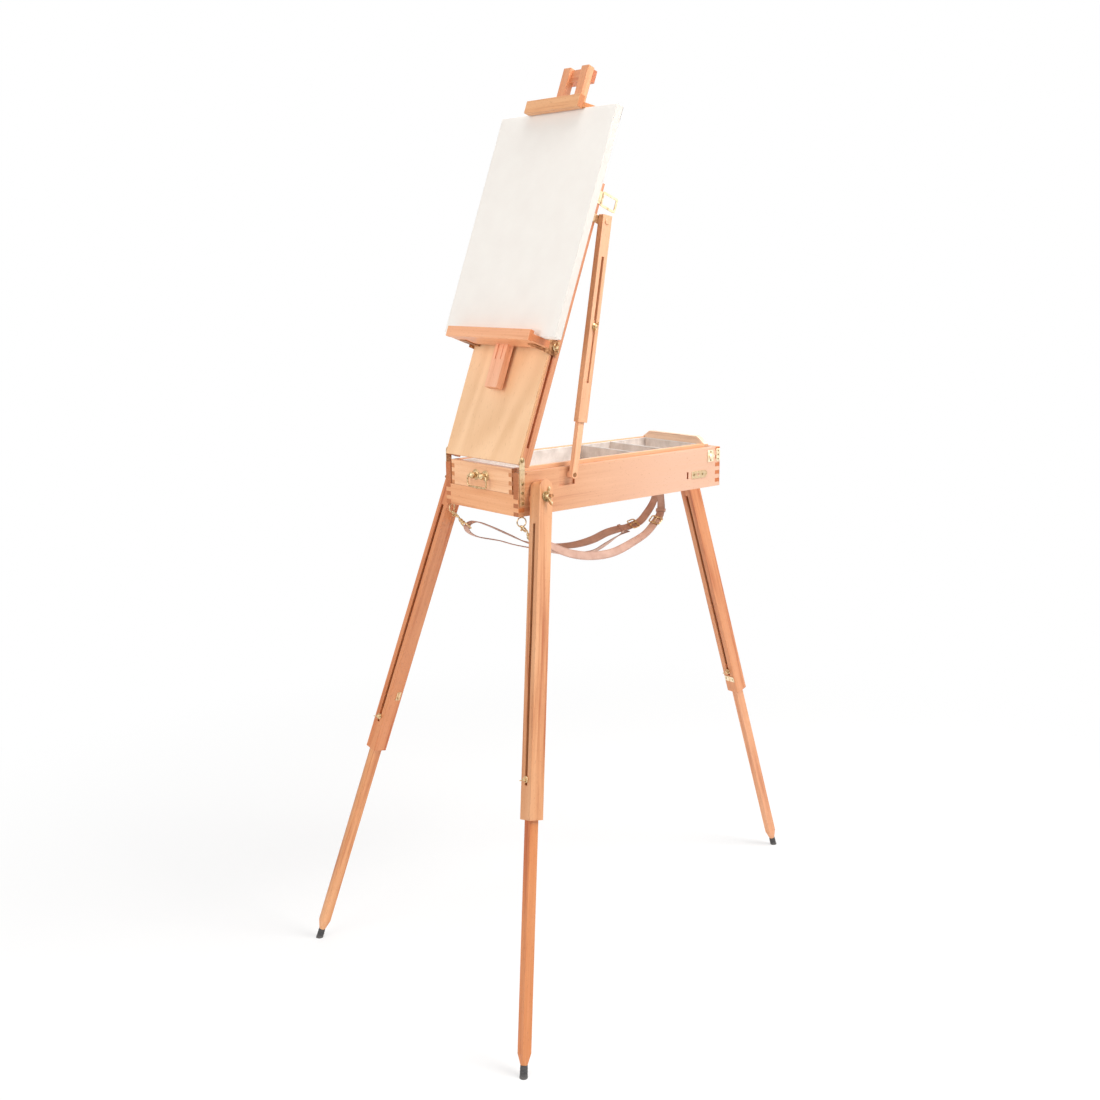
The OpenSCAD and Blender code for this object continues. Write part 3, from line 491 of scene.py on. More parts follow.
# How far each one stands below the place of its joint, where the wood begins.
WING_SUNK, SLIDE_SUNK, LEDGE_SUNK, STAY_SUNK, KNURLED_SUNK = 3.7, 2.7, 0.6, 0.1, 2.4
for side, sign in (("right", 1), ("left", -1)):
    wing_name, slide_name, ledge_name = f"leg_{side}_wing", f"leg_{side}_knob", f"ledge_knob_{side}"
    down = -leg_direction(side)
    fold_axis = np.array(joint_named(f"leg_{side}_fold")["axis"])
    clamp(wing_name, turning(wing_name, sign, down + 0.25 * DEPTH, WING_SUNK), *WING_NUT)
    washer = turning(wing_name, sign, down, WING_SUNK)
    piece(f"leg_{side}_washer", wing_name, screw_brass,
          [turned(washer, WASHER, 40), turned(washer, BOLT_END, 20)])
    clamp(slide_name, turning(slide_name, -1, fold_axis - 0.35 * down, SLIDE_SUNK), *SLIDE_NUT)
    clamp(ledge_name, turning(ledge_name, sign, lid_up + 0.4 * lid_out, LEDGE_SUNK), *LEDGE_NUT)
clamp("leg_rear_knob", turning("leg_rear_knob", -1, ACROSS + 0.3 * UP, SLIDE_SUNK), *SLIDE_NUT)
clamp("stay_knob", turning("stay_knob", 1, stay_up + 0.5 * DEPTH, STAY_SUNK), *STAY_NUT)
clamp("holder_knob", turning("holder_knob", -1, ACROSS, 0), *LEDGE_NUT)
knurled = turned(turning("leg_rear_nut", 1, DEPTH, KNURLED_SUNK), KNURLED_NUT, steps=96,
                 ripple=0.02, teeth=24)
piece("leg_rear_nut_knurled", "leg_rear_nut", cast_brass, [knurled], ["leg_rear_nut"],
      crisp=60)


# The drawer pull, cast and bent in brass. Two posts on round rosettes are bolted through the
# drawer's front and hold a swinging bail, whose wire thickens at the middle of the grip.
def bent(corners, radius, closed=False, steps=6):
    """Straight runs whose corners are rounded by quadratic curves that start radius away."""
    corners = np.asarray(corners, float)
    before, after = np.roll(corners, 1, 0), np.roll(corners, -1, 0)

    def reach(far):
        way = (far - corners) / np.linalg.norm(far - corners, axis=1, keepdims=True)
        return corners + way * radius

    t = np.linspace(0, 1, steps)[None, :, None]
    curve = ((1 - t) ** 2 * reach(before)[:, None] + 2 * t * (1 - t) * corners[:, None]
             + t ** 2 * reach(after)[:, None])
    if closed:
        return curve.reshape(-1, 3)
    return np.concatenate([corners[:1], curve[1:-1].reshape(-1, 3), corners[-1:]])


def wire(axes, path, radius, normal, closed=False, steps=12):
    """A round section carried along a flat path in local millimetres; normal stands on its
    plane, and the ends of an open wire are closed."""
    path = np.asarray(path, float)
    radius = np.broadcast_to(np.asarray(radius, float), len(path))
    if closed:
        ahead = np.roll(path, -1, 0) - np.roll(path, 1, 0)
    else:
        ahead = np.gradient(path, axis=0)
    ahead /= np.linalg.norm(ahead, axis=1, keepdims=True)
    side = np.cross(ahead, unit(normal))
    side /= np.linalg.norm(side, axis=1, keepdims=True)
    up = np.cross(side, ahead)
    turn = np.linspace(0, 2 * np.pi, steps, endpoint=False)[None, :, None]
    ring = np.cos(turn) * side[:, None] + np.sin(turn) * up[:, None]
    points = path[:, None] + ring * radius[:, None, None]
    if not closed:
        ends = np.repeat(path[[0, -1], None], steps, 1)
        points = np.concatenate([ends[:1], points, ends[1:]])
    return sheet_of(axes.at(*np.moveaxis(points, -1, 0)), across=True, along=closed)


POST_HALF, BAIL_WIRE, BAIL_DROP, GRIP_SWELL = 5, 1.6, 20, 0.9
pull_low, pull_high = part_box("pull_posts")
pull_x = pull_high.x * 1000 - POST_HALF
pull_frame = Axes((0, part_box("drawer_front")[0].y, (pull_low.z + pull_high.z) / 2), ACROSS, -DEPTH)
POST = [(0, 0), (0, 9.0), (0.6, 9.6), (1.2, 9.3), (1.7, 7.4), (2.4, 7.6), (3.0, 6.6), (3.4, 3.6),
        (4.2, 3.4)]
knob_turn = np.linspace(-0.5 * np.pi, 0.5 * np.pi, 14)
POST += [(9 + 6.2 * math.sin(a), 6.2 * math.cos(a)) for a in knob_turn if a > -0.9] + [(15.2, 0)]
piece("pull_post_pair", "drawer", cast_brass,
      [turned(pull_frame.facing((x, 0, 0)), POST) for x in (-pull_x, pull_x)], ["pull_posts"])
bail_axes = Axes(joint_named("bail_swing")["pos_m"], ACROSS, -DEPTH)
bail_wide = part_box("pull_bail")[1].x * 1000 - BAIL_WIRE
bail_path = bent([(pull_x - 2, 0, 0), (bail_wide, 0, 0), (bail_wide, -BAIL_DROP, 0),
                  (0, -BAIL_DROP, 0), (-bail_wide, -BAIL_DROP, 0), (-bail_wide, 0, 0),
                  (2 - pull_x, 0, 0)], 7, steps=12)
on_grip = bail_path[:, 1] < -BAIL_DROP + 1
bail_r = 1.45 + GRIP_SWELL * np.exp(-(np.abs(bail_path[:, 0]) / 6) ** 2) * on_grip
piece("pull_bail_wire", "bail", cast_brass,
      [wire(bail_axes, bail_path, bail_r, (0, 0, 1))], ["pull_bail"])


# Slotted brass screws. They hold the plates to the wood, each stopped at its own angle, and a
# bigger one on each side is the pivot of the lid.
def screw(axes, radius, height, slot_way):
    """A slotted raised head: the dome is height times (1 - x^2 - y^2)^0.4 over a disc, cut down to
    a third inside a groove as wide as a fifth of the radius to either side."""
    groove = 0.2
    half = [groove, groove + 0.01, 0.45, 0.7, 0.88, 0.97, 1]
    x = np.array([-v for v in half[::-1]] + half)[:, None]
    y = np.sqrt(np.clip(1 - x ** 2, 0, 1)) * np.sin(np.linspace(-1, 1, 13) * np.pi / 2)
    x = np.broadcast_to(x, y.shape)
    dome = height * np.clip(1 - x ** 2 - y ** 2, 0, 1) ** 0.4
    cut = np.where(np.abs(x) <= groove, np.minimum(dome, height * 0.35), dome)
    c, s = math.cos(slot_way), math.sin(slot_way)
    across, away = (x * c - y * s) * radius, (x * s + y * c) * radius
    return [sheet_of(axes.at(across, away, cut)), sheet_of(axes.at(across, away, cut * 0))]


def screws(name, body, heads, stands_for=()):
    """Heads are (frame, place, outward, radius, height), each turned to its own angle."""
    patches = []
    for number, (axes, place, outward, radius, height) in enumerate(heads):
        seat = axes.facing(place, (0, 1, 0.001), outward)
        patches += screw(seat, radius, height, 0.4 + 1.9 * number)
    piece(name, body, screw_brass, patches, stands_for, crisp=32)


box_frame = Axes((0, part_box("side_wall_right")[0].y, 0), ACROSS, UP)
lid_frame = Axes(lid_pivot, ACROSS, lid_out)
SEAT = 0.05
# Radius and height of each kind of head.
STRAP_SCREW, PIVOT_SCREW, CATCH_SCREW, STAY_PLATE_SCREW = (3, 1), (4, 1.4), (2.4, 0.8), (2.0, 0.7)


def seat_on(name):
    """How far from the easel's middle a head sits, just under the outer face of a plate."""
    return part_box(name)[1].x * 1000 - SEAT


screws("hinge_screw_heads", "box",
       [(box_frame, (side * seat_on("hinge_straps"), 8, z), (side, 0, 0), *size)
        for side in (-1, 1) for z, size in ((892, STRAP_SCREW), (909.5, STRAP_SCREW),
                                            (925, STRAP_SCREW), (964.5, PIVOT_SCREW))],
       ["box_screws"])
screws("catch_screw_heads", "box",
       [(box_frame, (side * seat_on("side_catches"), y, 896), (side, 0, 0), *CATCH_SCREW)
        for side in (-1, 1) for y in (429, 453)])
screws("hasp_screw_heads", "lid",
       [(lid_frame, (side * seat_on("lid_hasps"), s, -11.5), (side, 0, 0), *CATCH_SCREW)
        for side in (-1, 1) for s in (460.5, 473.5)])
screws("stay_plate_screw_heads", "lid",
       [(lid_frame, (seat_on("stay_plate"), s, -8.5), (1, 0, 0), *STAY_PLATE_SCREW)
        for s in (427.8, 435.4)])


# The lid's hasps. Each is one brass strip pressed to a broad open loop, which drops over a turn
# button on the box, with a tail that is screwed to the side of the rail.
def oblong(x0, x1, y0, y1, corner):
    """The outline of a rectangle with rounded corners."""
    square = [(x0, y0, 0), (x1, y0, 0), (x1, y1, 0), (x0, y1, 0)]
    return bent(square, corner, closed=True)[:, :2]


def plate(axes, outline, thick, edge=0.3):
    """An outline in x and y given thickness; its edge is eased by drawing in its first and last
    ring, and both faces close on the middle of the outline."""
    outline = np.asarray(outline, float)
    middle = outline.mean(0)
    drawn_in = middle + (outline - middle) * (1 - edge / np.abs(outline - middle).max(0))
    centre = np.repeat(middle[None], len(outline), 0)
    rings = [(centre, 0), (drawn_in, 0), (outline, edge), (outline, thick - edge),
             (drawn_in, thick), (centre, thick)]
    flat = np.array([ring for ring, _ in rings])
    height = np.array([level for _, level in rings])[:, None]
    return sheet_of(axes.at(flat[..., 0], flat[..., 1], height), across=True)


def framed(axes, outer, inner, levels):
    """A flat ring between two outlines of as many points. levels are the heights of its outer
    edge's two rims and then of its inner edge's."""
    flat = np.array([outer, outer, inner, inner]).transpose(1, 0, 2)
    grid = axes.at(flat[..., 0], flat[..., 1], np.array(levels)[None, :])
    return sheet_of(grid, across=True, along=True)


def on_side(axes, side, out, y, z):
    """A frame on the right or left of the box or the lid, z outward and y along their own z."""
    return axes.facing((side * out, y, z), (0, side, 0), (side, 0, 0))


PRESSED, HASP_MIDDLE = 1.2, 467
lid_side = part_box("lid_hasps")[1].x * 1000 - PRESSED
hasps = []
for side in (-1, 1):
    flank = on_side(lid_frame, side, lid_side, HASP_MIDDLE, 0)
    hasps += [framed(flank, oblong(-13, 13, -57, -20, 4), oblong(-9, 9, -53, -24, 2),
                     (0, PRESSED, PRESSED, 0)),
              plate(flank, oblong(-11, 11, -21.5, -3, 3), PRESSED)]
piece("hasp_loops", "lid", brass, hasps, ["lid_hasps"])

# The turn latches. A pressed brass plate near each rear corner carries a round post with an oval
# button, which turns across the hasp's window, and a second plate covers the corner joint.
# The plate brass painted paler: painted light, so the latch plates and the rear leg's clip look
# brightly lit where they stand in shade.
painted_light_brass = plated("painted_light_brass", (222, 198, 158), (246, 228, 196), (255, 244, 222), 0.34, 130.0)
LATCH_Y, CORNER_Y = 475, 496
box_side, box_top = (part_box("side_wall_right")[1][i] * 1000 for i in (0, 2))
LATCH_POST = [(1, 0), (1, 4.2), (1.5, 4.4), (2, 3.4), (4.3, 3.1), (4.3, 0)]
turn = np.linspace(0, 2 * np.pi, 40, endpoint=False)
BUTTON = np.stack([7 * np.cos(turn), 3.2 * np.sin(turn) * (1 - 0.25 * np.cos(turn) ** 2)], 1)
latch_parts, latch_heads = [], []
for side in (-1, 1):
    flank = on_side(box_frame, side, box_side, LATCH_Y, box_top - 16)
    corner = on_side(box_frame, side, box_side, CORNER_Y, box_top - 15)
    latch_parts += [plate(flank, oblong(-8, 8, -11, 11, 2.5), PRESSED), turned(flank, LATCH_POST),
                    plate(flank.facing((0, 0, 4)), BUTTON, 2, 0.7),
                    plate(corner, oblong(-5, 5, -12, 12, 2), PRESSED)]
    x = side * (box_side + PRESSED - SEAT)
    latch_heads += [(box_frame, (x, y, box_top - below), (side, 0, 0), 1.9, 0.7) for y, below in
                    ((LATCH_Y, 24), (LATCH_Y, 8), (CORNER_Y, 23), (CORNER_Y, 15), (CORNER_Y, 7))]
piece("latch_plates", "box", painted_light_brass, latch_parts, ["side_latches"])
screws("latch_screw_heads", "box", latch_heads)

# The rear leg's clip. A broad plate of brass, painted paler as painted light, with a bent wire
# staple is screwed across the leg below its slot, where a strap ties the leg when it is folded.
CLIP_BELOW_KNOB = 18.5
slide_axes = turning("leg_rear_knob", -1, -leg_direction("rear"), SLIDE_SUNK)
clip = slide_axes.facing((CLIP_BELOW_KNOB, 0, 0))
hook_path = bent([(-3.5, 0, 0.6), (-3.5, 0, 3.2), (3.5, 0, 3.2), (3.5, 0, 0.6)], 1.4)
piece("rear_leg_clip", "leg_rear_upper", painted_light_brass,
      [plate(clip, oblong(-6, 6, -12.5, 12.5, 1.5), 1), wire(clip, hook_path, 0.8, (0, 1, 0))])
screws("rear_leg_clip_screw_heads", "leg_rear_upper",
       [(clip, (0, y, 0.95), (0, 0, 1), 1.6, 0.6) for y in (-9, 9)])


# The tray liner, folded from zinc-plated sheet with its edges rolled over a wire. Its bottom is
# cloudy and scratched, and the rolled edges are worn bright.
def zinc(name, low, high, rough):
    """Cloudy noise between two greys, and noise stretched 18 to 1 cut off to fine scratches."""
    sheet = Finish(name, rough, metal=0.3)
    point = sheet.coords()
    cloud = sheet.noise(point, 38.0, 4.0, 0.6, 0.4)
    grain = sheet.noise(point, 700.0, 2.0)
    scratched = sheet.vector(sheet.dot(point, ACROSS) * 1600, sheet.dot(point, DEPTH) * 90, 0.0)
    scratch = sheet.noise(scratched, 1.0, 1.0).step(0.62, 0.7)
    stops = [(0.3, tint(*low)), (0.72, tint(*high))]
    sheet.set("Base Color", sheet.ramp(cloud + scratch * 0.1, stops))
    sheet.set("Roughness", rough + cloud * 0.2 + grain * 0.06)
    sheet.bump(cloud + grain * 0.2 - scratch * 0.2, 0.00015, 0.5)
    return sheet


tray = zinc("tray_sheet", (210, 200, 192), (243, 235, 229), 0.34)
bright = zinc("tray_edge", (226, 222, 219), (250, 248, 246), 0.22)
dress(tray, "tray_liner")
RIM_IN, FIRST_BAY, SECOND_BAY = 0.6, 292.5, 75
tray_low, tray_high = (np.array(corner) * 1000 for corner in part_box("tray_liner"))
box_front = box_frame.origin[1] * 1000
tray_x = tray_high[0] - RIM_IN
tray_y0, tray_y1 = tray_low[1] + RIM_IN - box_front, tray_high[1] - RIM_IN - box_front
rim = bent([(-tray_x, tray_y0, 0), (tray_x, tray_y0, 0), (tray_x, tray_y1, 0),
            (-tray_x, tray_y1, 0)], 2.5, closed=True, steps=8)
tray_edge = box_frame.facing((0, 0, tray_high[2] - 0.4))
beads = [wire(tray_edge, rim, 0.85, (0, 0, 1), closed=True, steps=10)]
for bays in (FIRST_BAY, FIRST_BAY + SECOND_BAY):
    y = tray_y0 - RIM_IN + 1 + bays
    beads += [wire(tray_edge, [(-tray_x, y, 0), (0, y, 0), (tray_x, y, 0)], 0.95, (0, 0, 1),
                   steps=10)]
piece("tray_rolled_edges", "drawer", bright, beads)

# The rubber feet, moulded and ribbed and pushed on the ends of the sticks. Each is a little wider
# where it meets the floor, matt all over and dusty there.
rubber = Finish("rubber_foot", 0.7)
rubber_dust = rubber.noise(rubber.coords(), 500.0, 3.0, 0.7)
dusty = 1 - rubber.dot(rubber.coords(), UP).step(0.001, 0.009)
rubber.set("Base Color", rubber.ramp(rubber_dust + dusty * 0.3,
                                     [(0.35, tint(52, 51, 53)), (0.95, tint(104, 101, 99))]))
rubber.set("Roughness", 0.6 + rubber_dust * 0.3)
rubber.bump(rubber_dust, 0.0001)
BOOT = [(-3, 0), (-3, 6.5), (-2, 6.7), (0, 6.8), (1.6, 6.8), (2.4, 6.6), (9.0, 6.35), (9.4, 6.6),
        (10.2, 6.6), (10.6, 6.3), (13.6, 6.2), (14.0, 6.5), (14.8, 6.5), (15.2, 6.2), (19.2, 6.1),
        (19.8, 5.7), (19.8, 0)]
for side in LEG_TONES_AND_SHADE:
    down = -leg_direction(side)
    pivot = np.array(joint_named(f"leg_{side}_fold")["pos_m"])
    foot = Axes(pivot - down * pivot[2] / down[2], ACROSS, -down)
    points, quads = turned(foot, BOOT, 40)
    points[:, 2] = np.maximum(points[:, 2], 0)
    piece(f"leg_{side}_boot", f"leg_{side}_stick", rubber, [(points, quads)],
          [f"leg_{side}_tip"])

# The canvas: primed cotton, cut larger than its frame, pulled over the bars, turned round the back
# and stapled there. Its corners are folded under on the top and bottom edges.
CANVAS_HALF, CANVAS_DEEP, HEM, FOLD = (150, 200), 15, 25, 1.0
CANVAS_MIDDLE, CANVAS_FRONT = 403.3, 41.3  # up the lid, and out from it
THREADS = 4200
cloth = Finish("primed_canvas", 0.85)
cloth_point = cloth.coords()
cloth_x, cloth_s = cloth.dot(cloth_point, ACROSS), cloth.dot(cloth_point, lid_up)
warp = (cloth_x * THREADS).sine()
weft = (cloth_s * THREADS).sine()
slub = cloth.noise(cloth.vector(cloth_x * 60, 0.0, cloth_s * 900), 1.0, 2.0)
ground = cloth.noise(cloth_point, 26.0, 3.0, 0.5)
edge_x = CANVAS_HALF[0] / 1000
# Painted shade: the cloth is greyed where it turns round the left and right bars and down the sides.
painted_side_shade = abs(cloth_x).step(edge_x - 0.0012, edge_x - 0.0001)
primed = cloth.ramp(ground + slub * 0.2, [(0.35, tint(243, 237, 230)), (0.8, tint(246, 241, 234))])
painted_side_grey = tint(214, 207, 199)
cloth.set("Base Color", cloth.mix(painted_side_shade * (ground * 0.3 + 0.7), primed, painted_side_grey))
cloth.set("Roughness", 0.8 + ground * 0.12)
cloth.bump(warp * weft * 0.6 + slub, 0.00008)


def turned_over(u, half):
    """Distance along the cloth to (place, depth): flat to the edge, a quarter circle round it,
    down the side, a quarter circle round the back edge and inward again under the bars."""
    q = np.abs(u) - (half - FOLD)
    arc = FOLD * np.pi / 2
    side_run = CANVAS_DEEP - 2 * FOLD
    first = np.clip(q / FOLD, 0, np.pi / 2)
    second = np.clip((q - arc - side_run) / FOLD, 0, np.pi / 2)
    back = np.maximum(q - 2 * arc - side_run, 0)
    place = (half - FOLD + np.minimum(q, 0) + FOLD * np.sin(first) - FOLD * (1 - np.cos(second))
             - back)
    down = FOLD * (1 - np.cos(first)) + np.clip(q - arc, 0, side_run) + FOLD * np.sin(second)
    return np.sign(u) * place, down


def spread(half):
    """Closer rows of points at the folds than on the flat."""
    arc = FOLD * np.pi / 2
    stops = np.cumsum([half - FOLD, arc, CANVAS_DEEP - 2 * FOLD, arc, HEM])
    runs = [np.linspace(a, b, n, endpoint=False) for a, b, n in
            zip(np.concatenate([[0], stops[:-1]]), stops, (24, 4, 6, 4, 4))]
    out = np.concatenate(runs + [stops[-1:]])
    return np.concatenate([-out[:0:-1], out])


BACK = CANVAS_DEEP - 0.01
a, b = np.meshgrid(spread(CANVAS_HALF[0]), spread(CANVAS_HALF[1]), indexing="ij")
canvas_x, down_a = turned_over(a, CANVAS_HALF[0])
canvas_s, down_b = turned_over(b, CANVAS_HALF[1])
deep = np.maximum(down_a, down_b)
tucked = (np.clip((np.abs(canvas_x) - CANVAS_HALF[0] + deep) / 2, 0, 1)
          * np.clip(down_b / 2, 0, 1) * (down_b < BACK) * (down_a < 0.5))
canvas_s += np.sign(b) * tucked * 0.5
deep += 0.2 * (deep > BACK) + 0.25 * (down_a > BACK) * (down_b > BACK)
canvas = piece("canvas_sheet", "ledge", cloth,
               [sheet_of(lid_frame.at(canvas_x, CANVAS_MIDDLE + canvas_s, CANVAS_FRONT - deep))],
               ["canvas_cloth"], crisp=60)

STAPLE_IN = 13
staple_path = bent([(-5, 0, -0.6), (-5, 0, 0.25), (5, 0, 0.25), (5, 0, -0.6)], 0.5, steps=4)
on_back = CANVAS_FRONT - CANVAS_DEEP - 0.2
staples = []
for sign in (-1, 1):
    upright = [(sign * (CANVAS_HALF[0] - STAPLE_IN), s, (0.3, 1, 0))
               for s in np.linspace(-165, 165, 7)]
    level = [(x, sign * (CANVAS_HALF[1] - STAPLE_IN), (1, 0.3, 0)) for x in (-105, -55, 55, 105)]
    for x, s, way in upright + level:
        seat = lid_frame.facing((x, CANVAS_MIDDLE + s, on_back), way, (0, 0, -1))
        staples += [wire(seat, staple_path, 0.3, (0, 1, 0), steps=8)]
piece("canvas_staples", "ledge", bright, staples)

# The stretcher, under the canvas. Its four pine bars are mitred and wedged, so the grain turns
# along each corner's diagonal, where a dark line shows the joint.
pine = Finish("pine_bar", 0.5, coat=0.05)
pine_point = pine.coords()
bar_x = pine.dot(pine_point, ACROSS)
bar_s = pine.dot(pine_point, lid_up) - float(np.dot(lid_frame.at(0, CANVAS_MIDDLE, 0), lid_up))
mitre = abs(bar_x) - abs(bar_s) + (CANVAS_HALF[1] - CANVAS_HALF[0]) / 1000
upright = mitre.step(-0.0002, 0.0002)
run, over = bar_x * (1 - upright) + bar_s * upright, bar_s * (1 - upright) + bar_x * upright
pine_rings = pine.noise(pine.vector(over * 160, 0.0, run * 4), 1.0, 2.0, 0.5, 0.4)
pine_fibre = pine.noise(pine.vector(over * 1200, 0.0, run * 40), 1.0, 2.0)
joint_line = 1 - abs(mitre).step(0.0002, 0.0006)
pine_base = pine.ramp(pine_rings * 0.8 + pine_fibre * 0.2,
                      [(0.3, tint(206, 164, 112)), (0.5, tint(236, 204, 158)),
                       (0.8, tint(246, 220, 180))])
pine.set("Base Color", pine.mix(joint_line * 0.6, pine_base, tint(120, 84, 50)))
pine.bump(pine_rings + pine_fibre - joint_line, 0.00012)
dress(pine, "canvas_stretcher", soft=0.8)

# The shoulder straps, cut from natural leather 2 mm thick. The faces are matt and pored, with a
# line creased along each edge, and the cut edges are darker and waxed.
leather = Finish("strap_leather", 0.6)
band_across = abs(leather.add("ShaderNodeAttribute", {"attribute_name": "across"}, out="Fac"))
skin_cloud = leather.noise(leather.coords(), 55.0, 3.0)
pores = leather.noise(leather.coords(), 1500.0, 3.0, 0.6)
crease = band_across.step(0.76, 0.79) * (1 - band_across.step(0.80, 0.83))
cut_edge = band_across.step(0.93, 0.99)
hide = leather.ramp(skin_cloud * 0.7 + pores * 0.3,
                    [(0.3, tint(190, 148, 130)), (0.75, tint(216, 180, 162))])
creased = leather.mix(crease * 0.55, hide, tint(132, 88, 70))
leather.set("Base Color", leather.mix(cut_edge * 0.7, creased, tint(146, 96, 74)))
leather.set("Roughness", 0.5 + pores * 0.25 - crease * 0.1)
leather.bump(pores * 0.3 - crease + skin_cloud * 0.4, 0.00025)
STRAP_HALF, STRAP_THICK, COURSE_STEPS = 8, 2, 9


def course(knots):
    """A smooth course through knots of x, y, z and roll. Each run is a cubic whose end slopes are
    the neighbouring chords' slopes, each weighted by the other's length, so short runs don't
    overshoot. Gives points, the way ahead and the way across, which rolls about the way ahead."""
    knots = np.asarray(knots, float)
    chord = np.diff(knots, axis=0)
    length = np.linalg.norm(chord[:, :3], axis=1)[:, None]
    slope = chord / length
    inner = (slope[:-1] * length[1:] + slope[1:] * length[:-1]) / (length[:-1] + length[1:])
    tangent = np.concatenate([slope[:1], inner, slope[-1:]])
    t = np.linspace(0, 1, COURSE_STEPS, endpoint=False)[None, :, None]
    ends = (knots[:-1], knots[1:], tangent[:-1], tangent[1:], length)
    p0, p1, m0, m1, h = (v[:, None] for v in ends)
    run = ((2 * t ** 3 - 3 * t ** 2 + 1) * p0 + (t ** 3 - 2 * t ** 2 + t) * h * m0
           + (3 * t ** 2 - 2 * t ** 3) * p1 + (t ** 3 - t ** 2) * h * m1)
    line = np.concatenate([run.reshape(-1, 4), knots[-1:]])
    points = line[:, :3]
    ahead = np.gradient(points, axis=0)
    ahead /= np.linalg.norm(ahead, axis=1, keepdims=True)
    level = ACROSS - ahead[:, :1] * ahead
    level /= np.linalg.norm(level, axis=1, keepdims=True)
    roll = np.radians(line[:, 3:])
    return points, ahead, level * np.cos(roll) + np.cross(level, ahead) * np.sin(roll)


def strap(name, knots):
    """A flat section carried along the course and closed at both ends. Its half width and half
    thickness go with the powers 0.4 and 0.45 of cosine and sine, so only its edges are round."""
    points, ahead, wide = course(knots)
    flat = np.cross(wide, ahead)
    turn = np.linspace(0, 2 * np.pi, 28, endpoint=False)
    u = np.sign(np.cos(turn)) * np.abs(np.cos(turn)) ** 0.4 * STRAP_HALF
    v = np.sign(np.sin(turn)) * np.abs(np.sin(turn)) ** 0.45 * STRAP_THICK / 2
    ring = points[:, None] + u[None, :, None] * wide[:, None] + v[None, :, None] * flat[:, None]
    ends = np.repeat(points[[0, -1], None], len(turn), 1)
    grid = np.concatenate([ends[:1], ring, ends[1:]])
    across = np.tile(u / STRAP_HALF, (len(grid), 1))
    across[[0, -1]] = 0
    surface = sheet_of(box_frame.at(*np.moveaxis(grid, -1, 0)), across=True)
    piece(name, "box", leather, [surface], [name.replace("_band", "")], across=across)
    return points, ahead, wide


ROUTE_RIGHT = [(91.5, 56, 809, 0), (93, 44, 812.6, 0), (93.4, 39.4, 814.6, 0),
    (93.6, 37.6, 819, 0), (93, 39.8, 823.4, 0), (92, 50, 824, 0), (90, 64, 816, -20),
    (88, 80, 808, -50), (81, 133, 785, -65), (73, 197, 770, -65), (66, 252, 767, -55),
    (58, 312, 777, -35), (53, 355, 790, -20), (49.5, 372, 799, -20), (47, 384, 807, -20),
    (44.5, 396, 815, -20), (41, 404, 830, -15), (38.5, 405, 850, -10), (36.5, 406, 872, 0),
    (36, 408, 884, 0), (36, 412, 889.4, 0), (36, 425, 889.7, 0)]
ROUTE_LEFT = [(-34, 484, 889.7, 0), (-34, 471, 889.4, 0), (-34.3, 467, 884, 0),
    (-35.5, 469, 850, 0), (-37, 464, 828, 10), (-39.5, 446, 803, 25), (-40.8, 425, 787, 30),
    (-42, 411, 784, 30), (-43.2, 397, 781, 30), (-46, 371, 779, 40), (-50, 346, 775, 45),
    (-54, 317, 766, 45), (-60, 275, 760, 35), (-70, 216, 764, 25), (-76, 165, 777, 10),
    (-81, 125, 797, 0), (-86, 81, 819, 0), (-89, 62, 827, 0), (-91, 50, 829, 0), (-93, 41, 825, 0),
    (-93.6, 37.6, 819, 0), (-93, 40, 813, 0), (-91.5, 47, 806.5, 0), (-89.5, 60, 800, 0),
    (-87, 81, 794, 0), (-84, 107, 787, 0), (-80, 131, 778, 0), (-76, 164, 768, 5),
    (-68, 214, 754, 15), (-60, 268, 743, 30), (-54, 312, 741, 45), (-50, 343, 752, 50),
    (-46.5, 374, 765, 30), (-43.5, 397, 773, 0)]
right_course = strap("strap_right_band", ROUTE_RIGHT)
left_course = strap("strap_left_band", ROUTE_LEFT)


# The straps' fittings, cast and bent in brass. Each strap has a roller buckle and a sewn leather
# keeper beside it, hooks to a ring under the front corner of the box, and is held under its rear
# by a flat-headed screw.
BUCKLE_HALF_WIDE, BUCKLE_HALF_LONG = 11, 8
KEEPER_HALF, KEEPER_CREASED_TO, KEEPER_ON = 3.0, 3.4, 6


def buckle(course_of, knot, side):
    """A bent wire frame laid on the band, a roller on its far bar and a prong from its middle."""
    points, ahead, wide = course_of
    i = knot * COURSE_STEPS
    seat = box_frame.facing(points[i], wide[i], side * np.cross(wide[i], ahead[i]))
    raised = seat.facing((0, 0, 2.3))
    x, y = BUCKLE_HALF_WIDE, BUCKLE_HALF_LONG
    bars = bent([(-x, -y, 0), (x, -y, 0), (x, y, 0), (-x, y, 0)], 3, closed=True)
    prong = bent([(0, -y, 0.4), (0, -2, 1.8), (0, y + 1.6, 1.4)], 2)
    eye, roller = (raised.facing((0, bar, 0), (0, 1, 0), (1, 0, 0)) for bar in (-y, y))
    return [wire(raised, bars, 1.3, (0, 0, 1), closed=True), wire(raised, prong, 0.9, (1, 0, 0)),
            turned(eye, [(-2, 0), (-2, 1.9), (2, 1.9), (2, 0)], 20),
            turned(roller, [(-8, 0), (-8, 1.8), (-7.6, 2.0), (7.6, 2.0), (8, 1.8), (8, 0)], 24)]


def keeper(course_of, knot, name):
    """A narrow loop of leather round the band: an oblong ring with a flat section."""
    points, ahead, wide = course_of
    i = knot * COURSE_STEPS + KEEPER_ON
    seat = box_frame.facing(points[i], wide[i], ahead[i])
    ring, hollow = oblong(-9.6, 9.6, -2.6, 2.6, 1.4), oblong(-8.6, 8.6, -1.5, 1.5, 0.7)
    levels = np.array([-1, 1, 1, -1]) * KEEPER_HALF
    loop = framed(seat, ring, hollow, levels)
    across = np.tile(levels / KEEPER_CREASED_TO, (len(ring), 1))
    piece(name, "box", leather, [loop], across=across)


